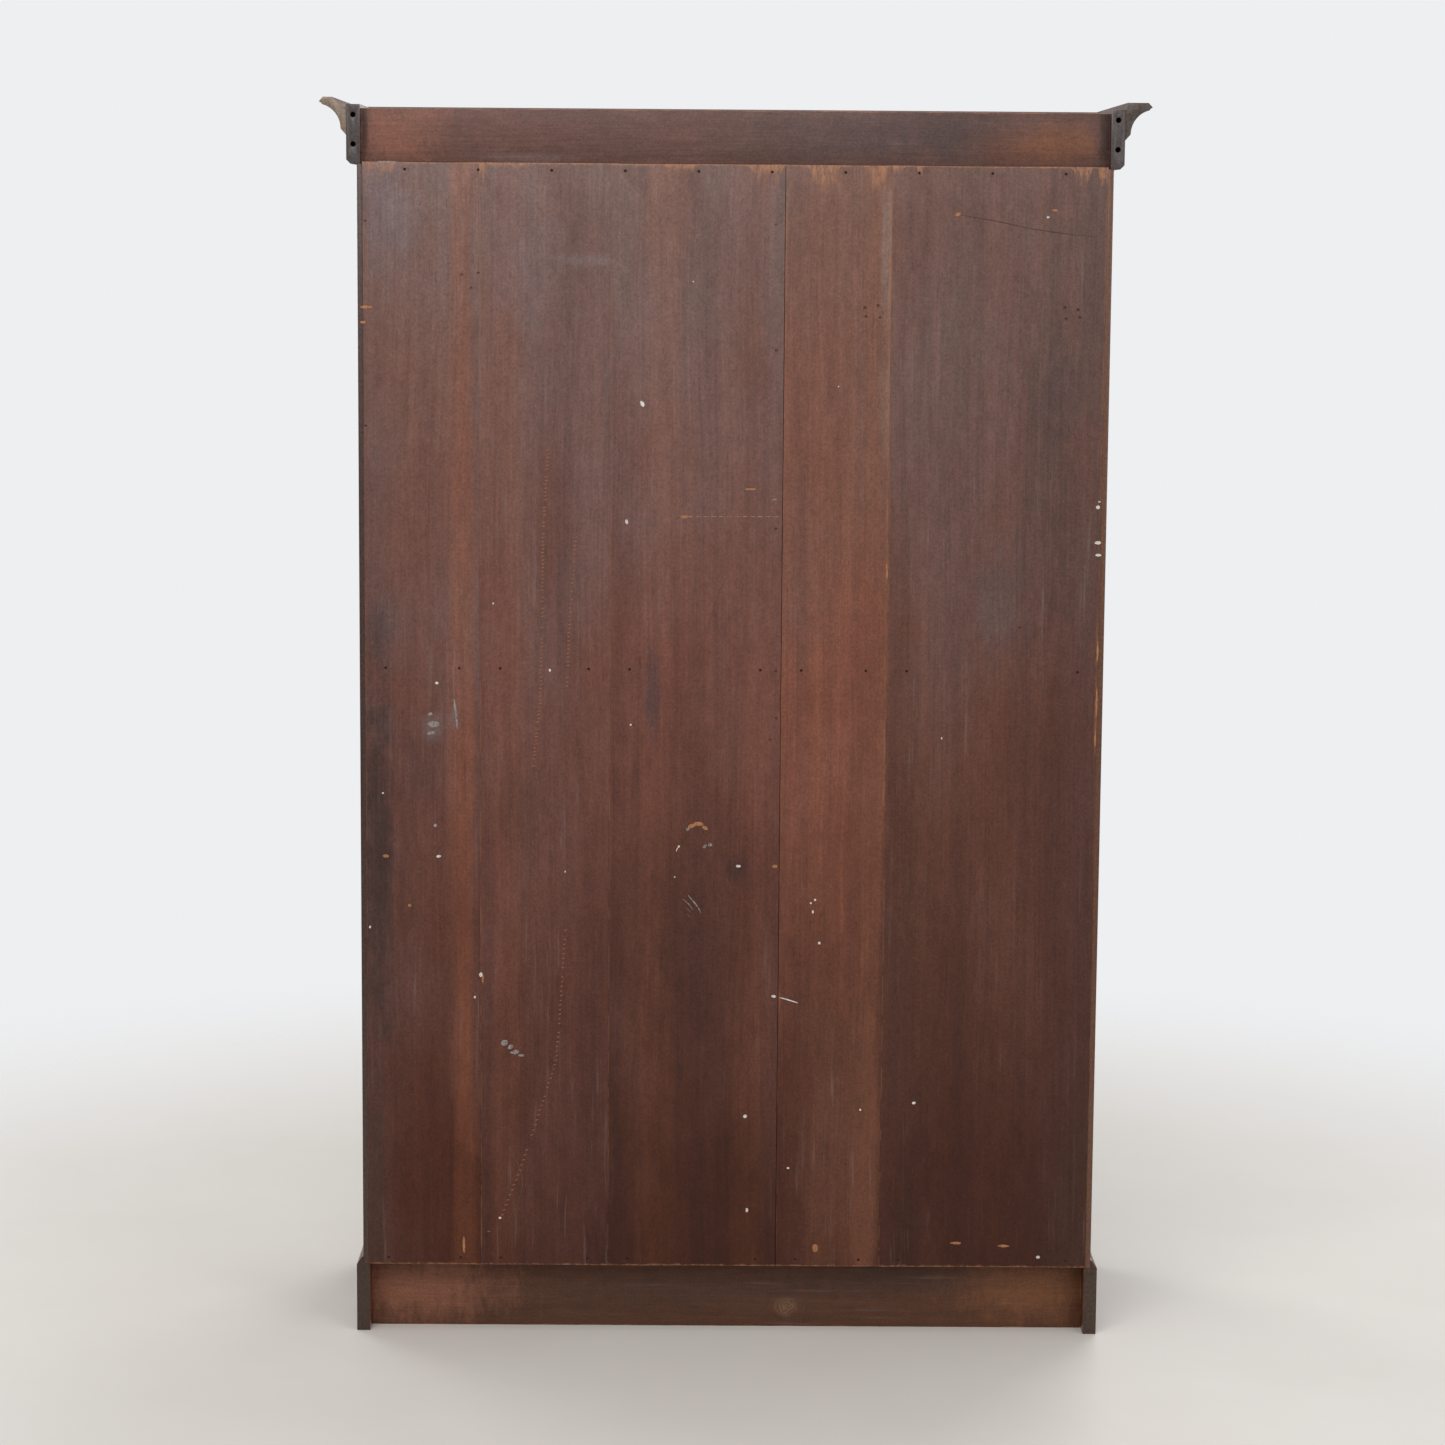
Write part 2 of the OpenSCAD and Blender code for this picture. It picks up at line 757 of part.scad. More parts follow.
module key() {
    bow_r = 11;
    bow_y = y_face - 33;
    bow_t = 3;
    bit_y = lock_y0 + lock_wall + 1;
    shank_end = lock_y0 + lock_t - lock_wall - 1;
    color(steel) {
        translate([key_x - bow_t / 2, bow_y, key_z]) rotate([0, 90, 0]) difference() {
            cylinder(r = bow_r, h = bow_t, $fn = 64);
            translate([0, 0, -past]) cylinder(r = bow_r - 4, h = bow_t + 2 * past, $fn = 64);
        }
        translate([key_x, bow_y + bow_r - 2, key_z]) rotate([-90, 0, 0])
            cylinder(r = key_r, h = shank_end - bow_y - bow_r + 2, $fn = 32);
        block([key_x - 1.2, bit_y, key_z - bit_reach], [key_x + 1.2, bit_y + 5, key_z]);
    }
}

module escutcheon() {
    plate_r = 11;
    color(brass) difference() {
        translate([key_x, y_face, key_z - 2]) rotate([90, 0, 0])
            cylinder(r = plate_r, h = 1.2, $fn = 64);
        keyhole(y_face - 2, y_face + past);
    }
}

module strike_pocket() {
    block([-door_x0 - plate_t, lock_y0, lock_bolt_z - strike_margin],
        [past - door_x0, lock_y0 + lock_t, lock_bolt_z + lock_bolt_h + strike_margin]);
    bolt_clear(-door_x0 - lock_throw - 2, past - door_x0);
}

module strike_plate() {
    color(brass) difference() {
        block([-door_x0 - plate_t, lock_y0, lock_bolt_z - strike_margin],
            [-door_x0, lock_y0 + lock_t, lock_bolt_z + lock_bolt_h + strike_margin]);
        bolt_clear(-door_x0 - 2 * plate_t, past - door_x0);
    }
}

// Flush bolts. The top one is drawn, and the bottom one is turned over.
module upside_down() {
    translate([0, 0, door_z0 + door_z1]) mirror([0, 0, 1]) children();
}

stud_z = door_z1 - bolt_sunk - bolt_stud_drop;

module stud_slot(y0, y1) {
    w = stud_r + slide_gap;
    block([bolt_x - w, y0, stud_z - w], [bolt_x + w, y1, stud_z + bolt_throw + w]);
}

module bolt_plate() {
    block([bolt_x - plate_w / 2, door_back - plate_t, stud_z - plate_margin],
        [bolt_x + plate_w / 2, door_back, stud_z + bolt_throw + plate_margin]);
}

module bolt_mortise() {
    depth = bolt_sunk + bolt_rod_l + 3;
    translate([bolt_x, bolt_y, door_z1 - depth])
        cylinder(r = rod_r + slide_gap, h = depth + past, $fn = 48);
    stud_slot(bolt_y, door_back + past);
    bolt_plate();
}

module bolt_guides() {
    color(brass) for (flip = [false, true]) {
        if (flip) upside_down() slotted_plate();
        else slotted_plate();
    }
}

module slotted_plate() {
    difference() {
        bolt_plate();
        stud_slot(bolt_y, door_back + past);
    }
}

module bolt_rod() {
    stud_out = 5;
    color(steel) {
        translate([bolt_x, bolt_y, door_z1 - bolt_sunk - bolt_rod_l])
            cylinder(r = rod_r, h = bolt_rod_l, $fn = 48);
        translate([bolt_x, bolt_y, stud_z]) rotate([-90, 0, 0])
            cylinder(r = stud_r, h = door_back + stud_out - bolt_y, $fn = 32);
    }
}

plinth_front();
plinth_side(-1);  // plinth_side_left
plinth_side(1);  // plinth_side_right
plinth_back();
glue_blocks();
side(-1);  // side_left
side(1);  // side_right
case_top();
case_bottom();
frame_stile(-1);  // frame_stile_left
frame_stile(1);  // frame_stile_right
frame_rail_top();
back_board(0);  // back_board_1
back_board(1);  // back_board_2
back_board(2);  // back_board_3
back_board(3);  // back_board_4
back_board(4);  // back_board_5
back_nails();
shelf_fixed();
shelf(notch_z(z_floor, lower_notch));  // shelf_lower
shelf(notch_z(z_floor, middle_notch));  // shelf_middle
shelf(notch_z(z_fixed_top, upper_notch));  // shelf_upper
shelf_racks();
shelf_rests();
frieze_front();
frieze_side(-1);  // frieze_side_left
frieze_side(1);  // frieze_side_right
cornice_back_rail();
crown_front();
crown_side(-1, 2);  // crown_side_left
crown_side(1, 20);  // crown_side_right
hinge_stile(-1);  // door_left_hinge_stile
meeting_stile(-1);  // door_left_meeting_stile
door_rail(-1, light_z1, door_z1);  // door_left_top_rail
door_rail(-1, door_z0, light_z0);  // door_left_bottom_rail
glazing_bars(-1);  // door_left_glazing_bars
glass(-1);  // door_left_glass
glazing_beads(-1);  // door_left_glazing_beads
knob(-1);  // door_left_knob
hinge_stile(1);  // door_right_hinge_stile
meeting_stile(1);  // door_right_meeting_stile
door_rail(1, light_z1, door_z1);  // door_right_top_rail
door_rail(1, door_z0, light_z0);  // door_right_bottom_rail
glazing_bars(1);  // door_right_glazing_bars
glass(1);  // door_right_glass
glazing_beads(1);  // door_right_glazing_beads
knob(1);  // door_right_knob
hinge_leaves_case();
hinge_leaves_door(-1);  // hinge_leaves_door_left
hinge_leaves_door(1);  // hinge_leaves_door_right
hinge_pins();
hinge_screws();
lock_case();
lock_bolt();
key();
escutcheon();
strike_plate();
bolt_guides();
bolt_rod();  // bolt_rod_top
upside_down() bolt_rod();  // bolt_rod_bottom
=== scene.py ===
import json
import math
import random

import bpy
from mathutils import Matrix, Vector, noise


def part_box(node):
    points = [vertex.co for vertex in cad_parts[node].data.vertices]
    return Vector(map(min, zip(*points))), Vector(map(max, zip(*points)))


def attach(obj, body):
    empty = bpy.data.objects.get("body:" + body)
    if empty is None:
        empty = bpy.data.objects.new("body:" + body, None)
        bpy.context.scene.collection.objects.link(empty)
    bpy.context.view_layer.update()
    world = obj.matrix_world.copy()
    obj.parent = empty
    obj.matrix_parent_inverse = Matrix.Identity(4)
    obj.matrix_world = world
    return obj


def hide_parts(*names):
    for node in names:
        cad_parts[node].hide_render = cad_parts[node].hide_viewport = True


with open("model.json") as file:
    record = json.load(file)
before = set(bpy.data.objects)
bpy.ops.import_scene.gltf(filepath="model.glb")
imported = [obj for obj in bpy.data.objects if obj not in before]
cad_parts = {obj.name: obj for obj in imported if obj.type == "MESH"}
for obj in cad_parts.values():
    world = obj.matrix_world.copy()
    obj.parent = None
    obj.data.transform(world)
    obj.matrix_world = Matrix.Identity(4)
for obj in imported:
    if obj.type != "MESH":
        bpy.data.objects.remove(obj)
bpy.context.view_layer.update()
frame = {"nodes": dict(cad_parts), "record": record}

slotOf = {part["node"]: part["material_slot"] for part in frame["record"]["subparts"]}
bodyOf = {node: body for body, nodes in frame["record"]["behaviour"]["bodies"].items() for node in nodes}
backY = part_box("back_board_1")[1].y
print("frame loaded,", len(slotOf), "parts")


def tone(code):  # a colour as it looks on a screen, made linear
    parts = [int(code[i:i + 2], 16) / 255 for i in (0, 2, 4)]
    return [((p + 0.055) / 1.055) ** 2.4 if p > 0.04045 else p / 12.92 for p in parts] + [1.0]


def deselectAll():
    if bpy.context.object and bpy.context.object.mode != "OBJECT":
        bpy.ops.object.mode_set(mode="OBJECT")
    bpy.ops.object.select_all(action="DESELECT")


def activate(piece):
    deselectAll()
    piece.select_set(True)
    bpy.context.view_layer.objects.active = piece


def editAll(piece):
    activate(piece)
    bpy.ops.object.mode_set(mode="EDIT")
    bpy.ops.mesh.select_all(action="SELECT")


def endEdit():
    bpy.ops.object.mode_set(mode="OBJECT")


def settle(piece):  # places stay in the mesh, objects stay at the origin
    activate(piece)
    bpy.ops.object.transform_apply(location=True, rotation=True, scale=True)


def roundEdges(piece, width, segments=2, angle=35, smooth=38):
    activate(piece)
    bevel = piece.modifiers.new("roundEdges", "BEVEL")
    bevel.width = width
    bevel.segments = segments
    bevel.limit_method = "ANGLE"
    bevel.angle_limit = math.radians(angle)
    bpy.ops.object.modifier_apply(modifier=bevel.name)
    bpy.ops.object.shade_smooth_by_angle(angle=math.radians(smooth))


def joinAll(pieces, name):
    deselectAll()
    for piece in pieces:
        piece.select_set(True)
    bpy.context.view_layer.objects.active = pieces[0]
    if len(pieces) > 1:
        bpy.ops.object.join()
    joined = bpy.context.object
    joined.name = name
    joined.data.name = name
    return joined


def copyAt(piece, shift):
    twin = bpy.data.objects.new(piece.name, piece.data.copy())
    bpy.context.scene.collection.objects.link(twin)
    twin.data.transform(Matrix.Translation(shift))
    return twin


def finishPiece(piece, material, body, stands=()):
    piece.data.materials.clear()
    piece.data.materials.append(material)
    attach(piece, body)
    if stands:
        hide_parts(*stands)
    return piece


def takeNode(node, name):  # a clean copy of a CAD part, with its triangles merged
    piece = bpy.data.objects.new(name, frame["nodes"][node].data.copy())
    bpy.context.scene.collection.objects.link(piece)
    piece.data.materials.clear()
    activate(piece)
    bpy.ops.mesh.customdata_custom_splitnormals_clear()
    editAll(piece)
    bpy.ops.mesh.remove_doubles(threshold=0.00002)
    bpy.ops.mesh.dissolve_limited(angle_limit=math.radians(1))
    endEdit()
    return piece


def cutAlong(piece, axis, step, start=None, end=None):  # extra loops across a part
    places = [vertex.co[axis] for vertex in piece.data.vertices]
    low = min(places) if start is None else start
    high = max(places) if end is None else end
    normal = [0, 0, 0]
    normal[axis] = 1
    count = max(1, round((high - low) / step))
    for i in range(1, count):
        place = [0, 0, 0]
        place[axis] = low + (high - low) * i / count
        editAll(piece)
        bpy.ops.mesh.bisect(plane_co=place, plane_no=normal)
        endEdit()


# Shader building blocks

def addNode(tree, kind, values=None, **settings):
    node = tree.nodes.new("ShaderNode" + kind)
    for name, value in settings.items():
        setattr(node, name, value)
    for name, value in (values or {}).items():
        socket = node.inputs[name]
        if isinstance(value, bpy.types.NodeSocket):
            tree.links.new(value, socket)
        else:
            socket.default_value = value
    return node


def calc(tree, operation, a, b=0.0, clamp=False):
    return addNode(tree, "Math", {0: a, 1: b}, operation=operation, use_clamp=clamp).outputs[0]


def ramp(tree, value, low, high, start=0.0, end=1.0, smooth=True):
    # a value from low to high becomes start to end
    kind = "SMOOTHSTEP" if smooth else "LINEAR"
    values = {"Value": value, "From Min": low, "From Max": high, "To Min": start, "To Max": end}
    return addNode(tree, "MapRange", values, interpolation_type=kind).outputs[0]


def distanceFrom(tree, value, place):
    return calc(tree, "ABSOLUTE", calc(tree, "SUBTRACT", value, place))


def calcVector(tree, operation, a, b):
    return addNode(tree, "VectorMath", {0: a, 1: b}, operation=operation).outputs[0]


def blendColour(tree, factor, a, b, mode="MIX"):
    return addNode(tree, "Mix", {0: factor, 6: a, 7: b}, data_type="RGBA", blend_type=mode).outputs[2]


def layColourOver(tree, colour, mask, amount, shade):  # lays a shade over a colour where the mask is
    return blendColour(tree, calc(tree, "MULTIPLY", mask, amount), colour, tone(shade))


def lightenBy(tree, colour, strength):
    grey = addNode(tree, "CombineColor", {0: strength, 1: strength, 2: strength}).outputs[0]
    return blendColour(tree, 1.0, colour, grey, "MULTIPLY")


def newGroup(name, inputs, outputs):
    group = bpy.data.node_groups.new(name, "ShaderNodeTree")
    for label, kind, value in inputs:
        socket = group.interface.new_socket(label, in_out="INPUT", socket_type="NodeSocket" + kind)
        if value is not None:
            socket.default_value = value
    for label, kind in outputs:
        group.interface.new_socket(label, in_out="OUTPUT", socket_type="NodeSocket" + kind)
    given = group.nodes.new("NodeGroupInput").outputs
    result = group.nodes.new("NodeGroupOutput").inputs
    return group, given, result


def useGroup(tree, name, values):
    node = tree.nodes.new("ShaderNodeGroup")
    node.node_tree = bpy.data.node_groups[name]
    for label, value in values.items():
        if isinstance(value, bpy.types.NodeSocket):
            tree.links.new(value, node.inputs[label])
        else:
            node.inputs[label].default_value = value
    return node.outputs


def drawnNoise(tree, vector, seed, across, along, detail, rough, shift):
    # noise drawn out along the grain, which runs along Z here
    values = {"Vector": calcVector(tree, "MULTIPLY", vector, (across, across, along)),
              "W": calc(tree, "ADD", seed, shift), "Scale": 1.0, "Detail": detail, "Roughness": rough}
    return addNode(tree, "TexNoise", values, noise_dimensions="4D").outputs[0]


# How close each pattern is across the grain and along it, its detail, its roughness, and a shift that keeps
# the patterns of one piece apart
patterns = {
    "sway": (3.0, 1.2, 2.0, 0.6, 7.3),
    "pores": (950.0, 46.0, 1.0, 0.6, 3.1),
    "wornEdge": (26.0, 26.0, 5.0, 0.65, 1.7),
    "patchyDust": (22.0, 22.0, 6.0, 0.6, 0.0),
    "raggedSpot": (60.0, 22.0, 5.0, 0.7, 0.0),
    "patches": (5.5, 2.2, 5.0, 0.62, 11.0),
    "wideBands": (34.0, 1.1, 4.0, 0.66, 19.0),
    "grit": (330.0, 330.0, 3.0, 0.75, 41.0),
    "mottle": (75.0, 30.0, 4.0, 0.7, 43.0),
    "scuffs": (150.0, 7.0, 4.0, 0.65, 47.0),
    "teeth": (95.0, 12.0, 5.0, 0.7, 23.0),
    "flakes": (210.0, 70.0, 5.0, 0.75, 29.0),
    "brokenLine": (90.0, 34.0, 5.0, 0.75, 37.0),
    "ribbon": (11.0, 2.6, 3.0, 0.5, 5.0),
    "thread": (190.0, 9.0, 5.0, 0.7, 13.0),
    "endGrain": (240.0, 240.0, 4.0, 0.7, 31.0),
    "metalPits": (1500.0, 1500.0, 3.0, 0.6, 4.0),
    "paintMottle": (500.0, 160.0, 4.0, 0.65, 0.0),
    "raggedPaint": (620.0, 620.0, 4.0, 0.75, 9.0),
    "glassRipple": (9.0, 4.0, 1.0, 0.4, 0.0),
    "floorCloud": (3.0, 3.0, 4.0, 0.6, 0.0),
}


def pattern(tree, name, vector, seed):
    return drawnNoise(tree, vector, seed, *patterns[name])


def buildWoodGrain():
    inputs = [("Vector", "Vector", None), ("Seed", "Float", 0.0), ("Coarse", "Float", 14.0),
              ("Fine", "Float", 420.0)]
    outputs = [("Streaks", "Float"), ("Fibres", "Float"), ("Pores", "Float"), ("Height", "Float")]
    group, given, result = newGroup("woodGrain", inputs, outputs)
    sway = pattern(group, "sway", given["Vector"], given["Seed"])
    offset = calc(group, "MULTIPLY", calc(group, "SUBTRACT", sway, 0.5), 0.05)
    bent = calcVector(group, "ADD", given["Vector"], addNode(group, "CombineXYZ", {"X": offset}).outputs[0])

    def linesOf(scale, alongShare, detail, rough):
        along = calc(group, "MULTIPLY", scale, alongShare)
        stretch = addNode(group, "CombineXYZ", {"X": scale, "Y": scale, "Z": along}).outputs[0]
        values = {"Vector": calcVector(group, "MULTIPLY", bent, stretch), "W": given["Seed"], "Scale": 1.0,
                  "Detail": detail, "Roughness": rough}
        return addNode(group, "TexNoise", values, noise_dimensions="4D").outputs[0]

    streaks = linesOf(given["Coarse"], 0.045, 5.0, 0.62)
    fibres = linesOf(given["Fine"], 0.012, 3.0, 0.7)
    pores = ramp(group, pattern(group, "pores", bent, given["Seed"]), 0.62, 0.72)
    height = calc(group, "SUBTRACT", fibres, calc(group, "MULTIPLY", pores, 0.6))
    group.links.new(ramp(group, streaks, 0.28, 0.72, smooth=False), result["Streaks"])
    group.links.new(ramp(group, fibres, 0.3, 0.7, smooth=False), result["Fibres"])
    group.links.new(pores, result["Pores"])
    group.links.new(height, result["Height"])


def buildEdgeWear():  # a mask along the edges of the box from Low to High
    inputs = [("Vector", "Vector", None), ("Low", "Vector", None), ("High", "Vector", None),
              ("Width", "Float", 0.004), ("Seed", "Float", 0.0)]
    group, given, result = newGroup("edgeWear", inputs, [("Mask", "Float")])
    below = calcVector(group, "SUBTRACT", given["Vector"], given["Low"])
    above = calcVector(group, "SUBTRACT", given["High"], given["Vector"])
    nearest = calcVector(group, "MINIMUM", below, above)
    parts = addNode(group, "SeparateXYZ", {0: nearest}).outputs
    total = calc(group, "ADD", calc(group, "ADD", parts[0], parts[1]), parts[2])
    most = calc(group, "MAXIMUM", calc(group, "MAXIMUM", parts[0], parts[1]), parts[2])
    least = calc(group, "MINIMUM", calc(group, "MINIMUM", parts[0], parts[1]), parts[2])
    reach = calc(group, "SUBTRACT", calc(group, "SUBTRACT", total, most), least)
    worn = pattern(group, "wornEdge", given["Vector"], given["Seed"])
    limit = calc(group, "MULTIPLY", given["Width"], ramp(group, worn, 0.38, 0.75, 0.0, 1.6))
    share = calc(group, "DIVIDE", reach, calc(group, "MAXIMUM", limit, 0.00001))
    group.links.new(ramp(group, share, 0.45, 1.0, 1.0, 0.0), result["Mask"])


def buildDust():  # a mask on the faces that look up
    inputs = [("Vector", "Vector", None), ("Normal", "Vector", None), ("Seed", "Float", 0.0)]
    group, given, result = newGroup("dust", inputs, [("Mask", "Float")])
    up = ramp(group, addNode(group, "SeparateXYZ", {0: given["Normal"]}).outputs[2], 0.55, 0.98)
    patchy = ramp(group, pattern(group, "patchyDust", given["Vector"], given["Seed"]), 0.3, 0.7, 0.35, 1.0)
    group.links.new(calc(group, "MULTIPLY", up, patchy), result["Mask"])


def buildSpot():  # a soft patch, with a ragged edge, round a place on the back
    inputs = [("Vector", "Vector", None), ("Place", "Vector", None), ("Size", "Vector", None),
              ("Seed", "Float", 0.0)]
    group, given, result = newGroup("spot", inputs, [("Mask", "Float"), ("Distance", "Float")])
    away = calcVector(group, "SUBTRACT", given["Vector"], given["Place"])
    flat = calcVector(group, "MULTIPLY", calcVector(group, "DIVIDE", away, given["Size"]), (1.0, 0.0, 1.0))
    length = addNode(group, "VectorMath", {0: flat}, operation="LENGTH").outputs["Value"]
    ragged = pattern(group, "raggedSpot", given["Vector"], given["Seed"])
    far = calc(group, "ADD", length, ramp(group, ragged, 0.2, 0.8, -0.6, 0.6, smooth=False))
    group.links.new(ramp(group, far, 0.2, 1.1, 1.0, 0.0), result["Mask"])
    group.links.new(far, result["Distance"])


buildWoodGrain()
buildEdgeWear()
buildDust()
buildSpot()


def newMaterial(name):
    material = bpy.data.materials.new(name)
    material.use_nodes = True
    tree = material.node_tree
    shader = tree.nodes["Principled BSDF"]
    place = addNode(tree, "TexCoord").outputs
    return material, tree, shader, place


def alongGrain(tree, vector, axis):  # turns the coordinates so that the grain runs along Z
    if axis == 2:
        return vector
    parts = addNode(tree, "SeparateXYZ", {0: vector}).outputs
    order = {0: (2, 1, 0), 1: (0, 2, 1)}[axis]
    return addNode(tree, "CombineXYZ", {i: parts[order[i]] for i in range(3)}).outputs[0]


def grainOf(tree, vector, look):
    values = {"Vector": vector, "Seed": look["seed"], "Coarse": look["coarse"], "Fine": look["fine"]}
    return useGroup(tree, "woodGrain", values)


def wearOf(tree, spot, low, high, look):
    values = {"Vector": spot, "Low": low, "High": high, "Width": look["wearWidth"], "Seed": look["seed"]}
    return useGroup(tree, "edgeWear", values)[0]


def dustOf(tree, place, look):
    values = {"Vector": place["Object"], "Normal": place["Normal"], "Seed": look["seed"]}
    return useGroup(tree, "dust", values)[0]


def addBump(tree, shader, height, strength, distance):
    bump = addNode(tree, "Bump", {"Strength": strength, "Distance": distance, "Height": height})
    tree.links.new(bump.outputs[0], shader.inputs["Normal"])


def setColour(tree, shader, colour):
    tree.links.new(colour, shader.inputs["Base Color"])


def sizeOf(piece):
    corners = [Vector(corner) for corner in piece.bound_box]
    low = Vector(min(c[i] for c in corners) for i in range(3))
    high = Vector(max(c[i] for c in corners) for i in range(3))
    return low, high


dustShade = "8d857f"
# The old stain of the back, with painted light on it: greyed and lighter at the top and deep brown lower down,
# as the lamps light it, and worn orange where it is rubbed
agedToneAndShade = {
    "high": "7f635a", "middle": "7a4e40", "low": "552c19", "topZ": 1.74, "middleZ": 0.95, "bottomZ": 0.10,
    "warm": "985636", "paintedSheen": "7b6f70", "dark": "2a1a17", "bare": "b27e5c", "rubbed": "a8704a",
    "scuffed": "96827a", "knotTone": "8a6a50", "greyEdge": "4d3f3d",
    "coarse": 16.0, "fine": 330.0, "paintedSheenAmount": 0.34, "marginAmount": 0.5, "pores": 0.25, "scuffs": 0.3,
    "wear": 0.55, "wearWidth": 0.004, "dust": 0.5, "roughness": (0.48, 0.68), "specular": 0.3, "bump": 0.35,
    "bands": (), "smudgesAndShadows": (), "knots": (), "wornEnds": (), "rubbedEdges": (),
}


def agedWood(name, look, low, high, axis=2):
    look = {**agedToneAndShade, **look}
    seed = look["seed"]
    material, tree, shader, place = newMaterial(name)
    spot = place["Object"]
    parts = addNode(tree, "SeparateXYZ", {0: spot}).outputs
    grainVector = alongGrain(tree, spot, axis)
    grain = grainOf(tree, grainVector, look)
    patches = pattern(tree, "patches", grainVector, seed)
    wide = pattern(tree, "wideBands", grainVector, seed)

    # painted light: the colour runs from deep brown at the foot to lighter and greyer at the top, as the lamps
    # light the back
    height = calc(tree, "ADD", parts[2], ramp(tree, patches, 0.2, 0.8, -0.25, 0.25))
    lower = ramp(tree, height, look["bottomZ"], look["middleZ"], smooth=False)
    upper = ramp(tree, height, look["middleZ"], look["topZ"], smooth=False)
    colour = blendColour(tree, lower, tone(look["low"]), tone(look["middle"]))
    colour = blendColour(tree, upper, colour, tone(look["high"]))
    shift = ramp(tree, wide, 0.3, 0.7, 0.0, 1.0, smooth=False)
    lighter = blendColour(tree, 1.0, colour, (1.13, 1.10, 1.08, 1.0), "MULTIPLY")
    darker = blendColour(tree, 1.0, colour, (0.82, 0.83, 0.86, 1.0), "MULTIPLY")
    colour = blendColour(tree, shift, darker, lighter)

    # warm bands, a painted sheen towards the top, smudges and painted shadows, and greyer margins at the sides
    # of the back
    for across, width, strength in look["bands"]:
        off = distanceFrom(tree, parts[2 if axis == 0 else 0], across)
        reach = calc(tree, "MULTIPLY", ramp(tree, wide, 0.3, 0.7, 0.6, 1.3), width)
        band = ramp(tree, calc(tree, "DIVIDE", off, reach), 0.25, 1.0, strength, 0.0)
        colour = layColourOver(tree, colour, band, ramp(tree, patches, 0.3, 0.62, 0.35, 1.0), look["warm"])
    # painted sheen: a greyish reflection laid over the colour, patchy and growing towards the top
    paintedSheen = ramp(tree, patches, 0.42, 0.72, 0.0, look["paintedSheenAmount"])
    higher = ramp(tree, parts[2], look["bottomZ"], look["topZ"], 0.12, 1.0)
    colour = layColourOver(tree, colour, paintedSheen, higher, look["paintedSheen"])
    for x, z, width, tall, strength, shade in look["smudgesAndShadows"]:
        values = {"Vector": spot, "Place": (x, 0.0, z), "Size": (width, 1.0, tall), "Seed": seed + x}
        colour = layColourOver(tree, colour, useGroup(tree, "spot", values)[0], strength, shade)
    margin = calc(tree, "ADD", calc(tree, "ABSOLUTE", parts[0]), ramp(tree, patches, 0.3, 0.7, -0.03, 0.03))
    greyed = ramp(tree, margin, 0.43, 0.55, 0.0, look["marginAmount"])
    colour = blendColour(tree, greyed, colour, tone(look["greyEdge"]))

    # grain, grit, pores, scuffs and knots
    fibre = ramp(tree, grain["Fibres"], 0.0, 1.0, 0.87, 1.12, smooth=False)
    streak = ramp(tree, grain["Streaks"], 0.0, 1.0, 0.91, 1.08, smooth=False)
    grit = ramp(tree, pattern(tree, "grit", spot, seed), 0.3, 0.7, 0.74, 1.26, smooth=False)
    mottle = ramp(tree, pattern(tree, "mottle", grainVector, seed), 0.3, 0.7, 0.87, 1.13, smooth=False)
    lines = calc(tree, "MULTIPLY", fibre, streak)
    colour = lightenBy(tree, colour, calc(tree, "MULTIPLY", lines, calc(tree, "MULTIPLY", grit, mottle)))
    colour = layColourOver(tree, colour, grain["Pores"], look["pores"], look["dark"])
    scuff = ramp(tree, pattern(tree, "scuffs", grainVector, seed), 0.56, 0.74)
    where = calc(tree, "MULTIPLY", ramp(tree, patches, 0.4, 0.6), look["scuffs"])
    colour = layColourOver(tree, colour, scuff, where, look["scuffed"])
    for x, z, width, tall in look["knots"]:
        values = {"Vector": spot, "Place": (x, 0.0, z), "Size": (width, 1.0, tall), "Seed": seed}
        knot = useGroup(tree, "spot", values)
        ring = ramp(tree, calc(tree, "SINE", calc(tree, "MULTIPLY", knot[1], 22.0)), -0.6, 0.8, 0.25, 0.75)
        colour = layColourOver(tree, colour, knot[0], ring, look["knotTone"])

    # arrises worn to bare wood, ends chipped in teeth, and joints rubbed through
    wear = wearOf(tree, spot, low, high, look)
    colour = layColourOver(tree, colour, wear, look["wear"], look["bare"])
    teeth = ramp(tree, pattern(tree, "teeth", spot, seed), 0.3, 0.72, 0.2, 1.3)
    for edge, reach, strength, splashes in look["wornEnds"]:
        total = reach
        for across, half, extra in splashes:
            away = distanceFrom(tree, parts[0], across)
            total = calc(tree, "ADD", total, ramp(tree, away, half * 0.5, half, extra, 0.0))
        off = distanceFrom(tree, parts[2], edge)
        share = calc(tree, "DIVIDE", off, calc(tree, "MULTIPLY", teeth, total))
        flaked = ramp(tree, pattern(tree, "flakes", spot, seed), 0.42, 0.56, 0.2, 1.0)
        colour = layColourOver(tree, colour, ramp(tree, share, 0.15, 1.0, strength, 0.0), flaked, look["bare"])
    for across, half, start, end, strength in look["rubbedEdges"]:
        line = ramp(tree, distanceFrom(tree, parts[0], across), half * 0.4, half, strength, 0.0)
        below = ramp(tree, parts[2], start, start + 0.08)
        above = ramp(tree, parts[2], end - 0.05, end, 1.0, 0.0)
        line = calc(tree, "MULTIPLY", line, calc(tree, "MULTIPLY", below, above))
        broken = ramp(tree, pattern(tree, "brokenLine", spot, seed), 0.40, 0.60, 0.1, 1.0)
        colour = layColourOver(tree, colour, line, broken, look["rubbed"])

    setColour(tree, shader, layColourOver(tree, colour, dustOf(tree, place, look), look["dust"], dustShade))
    rough = ramp(tree, calc(tree, "ADD", grain["Fibres"], wear), 0.0, 1.4, *look["roughness"])
    tree.links.new(rough, shader.inputs["Roughness"])
    shader.inputs["Specular IOR Level"].default_value = look["specular"]
    addBump(tree, shader, grain["Height"], look["bump"], 0.0006)
    return material


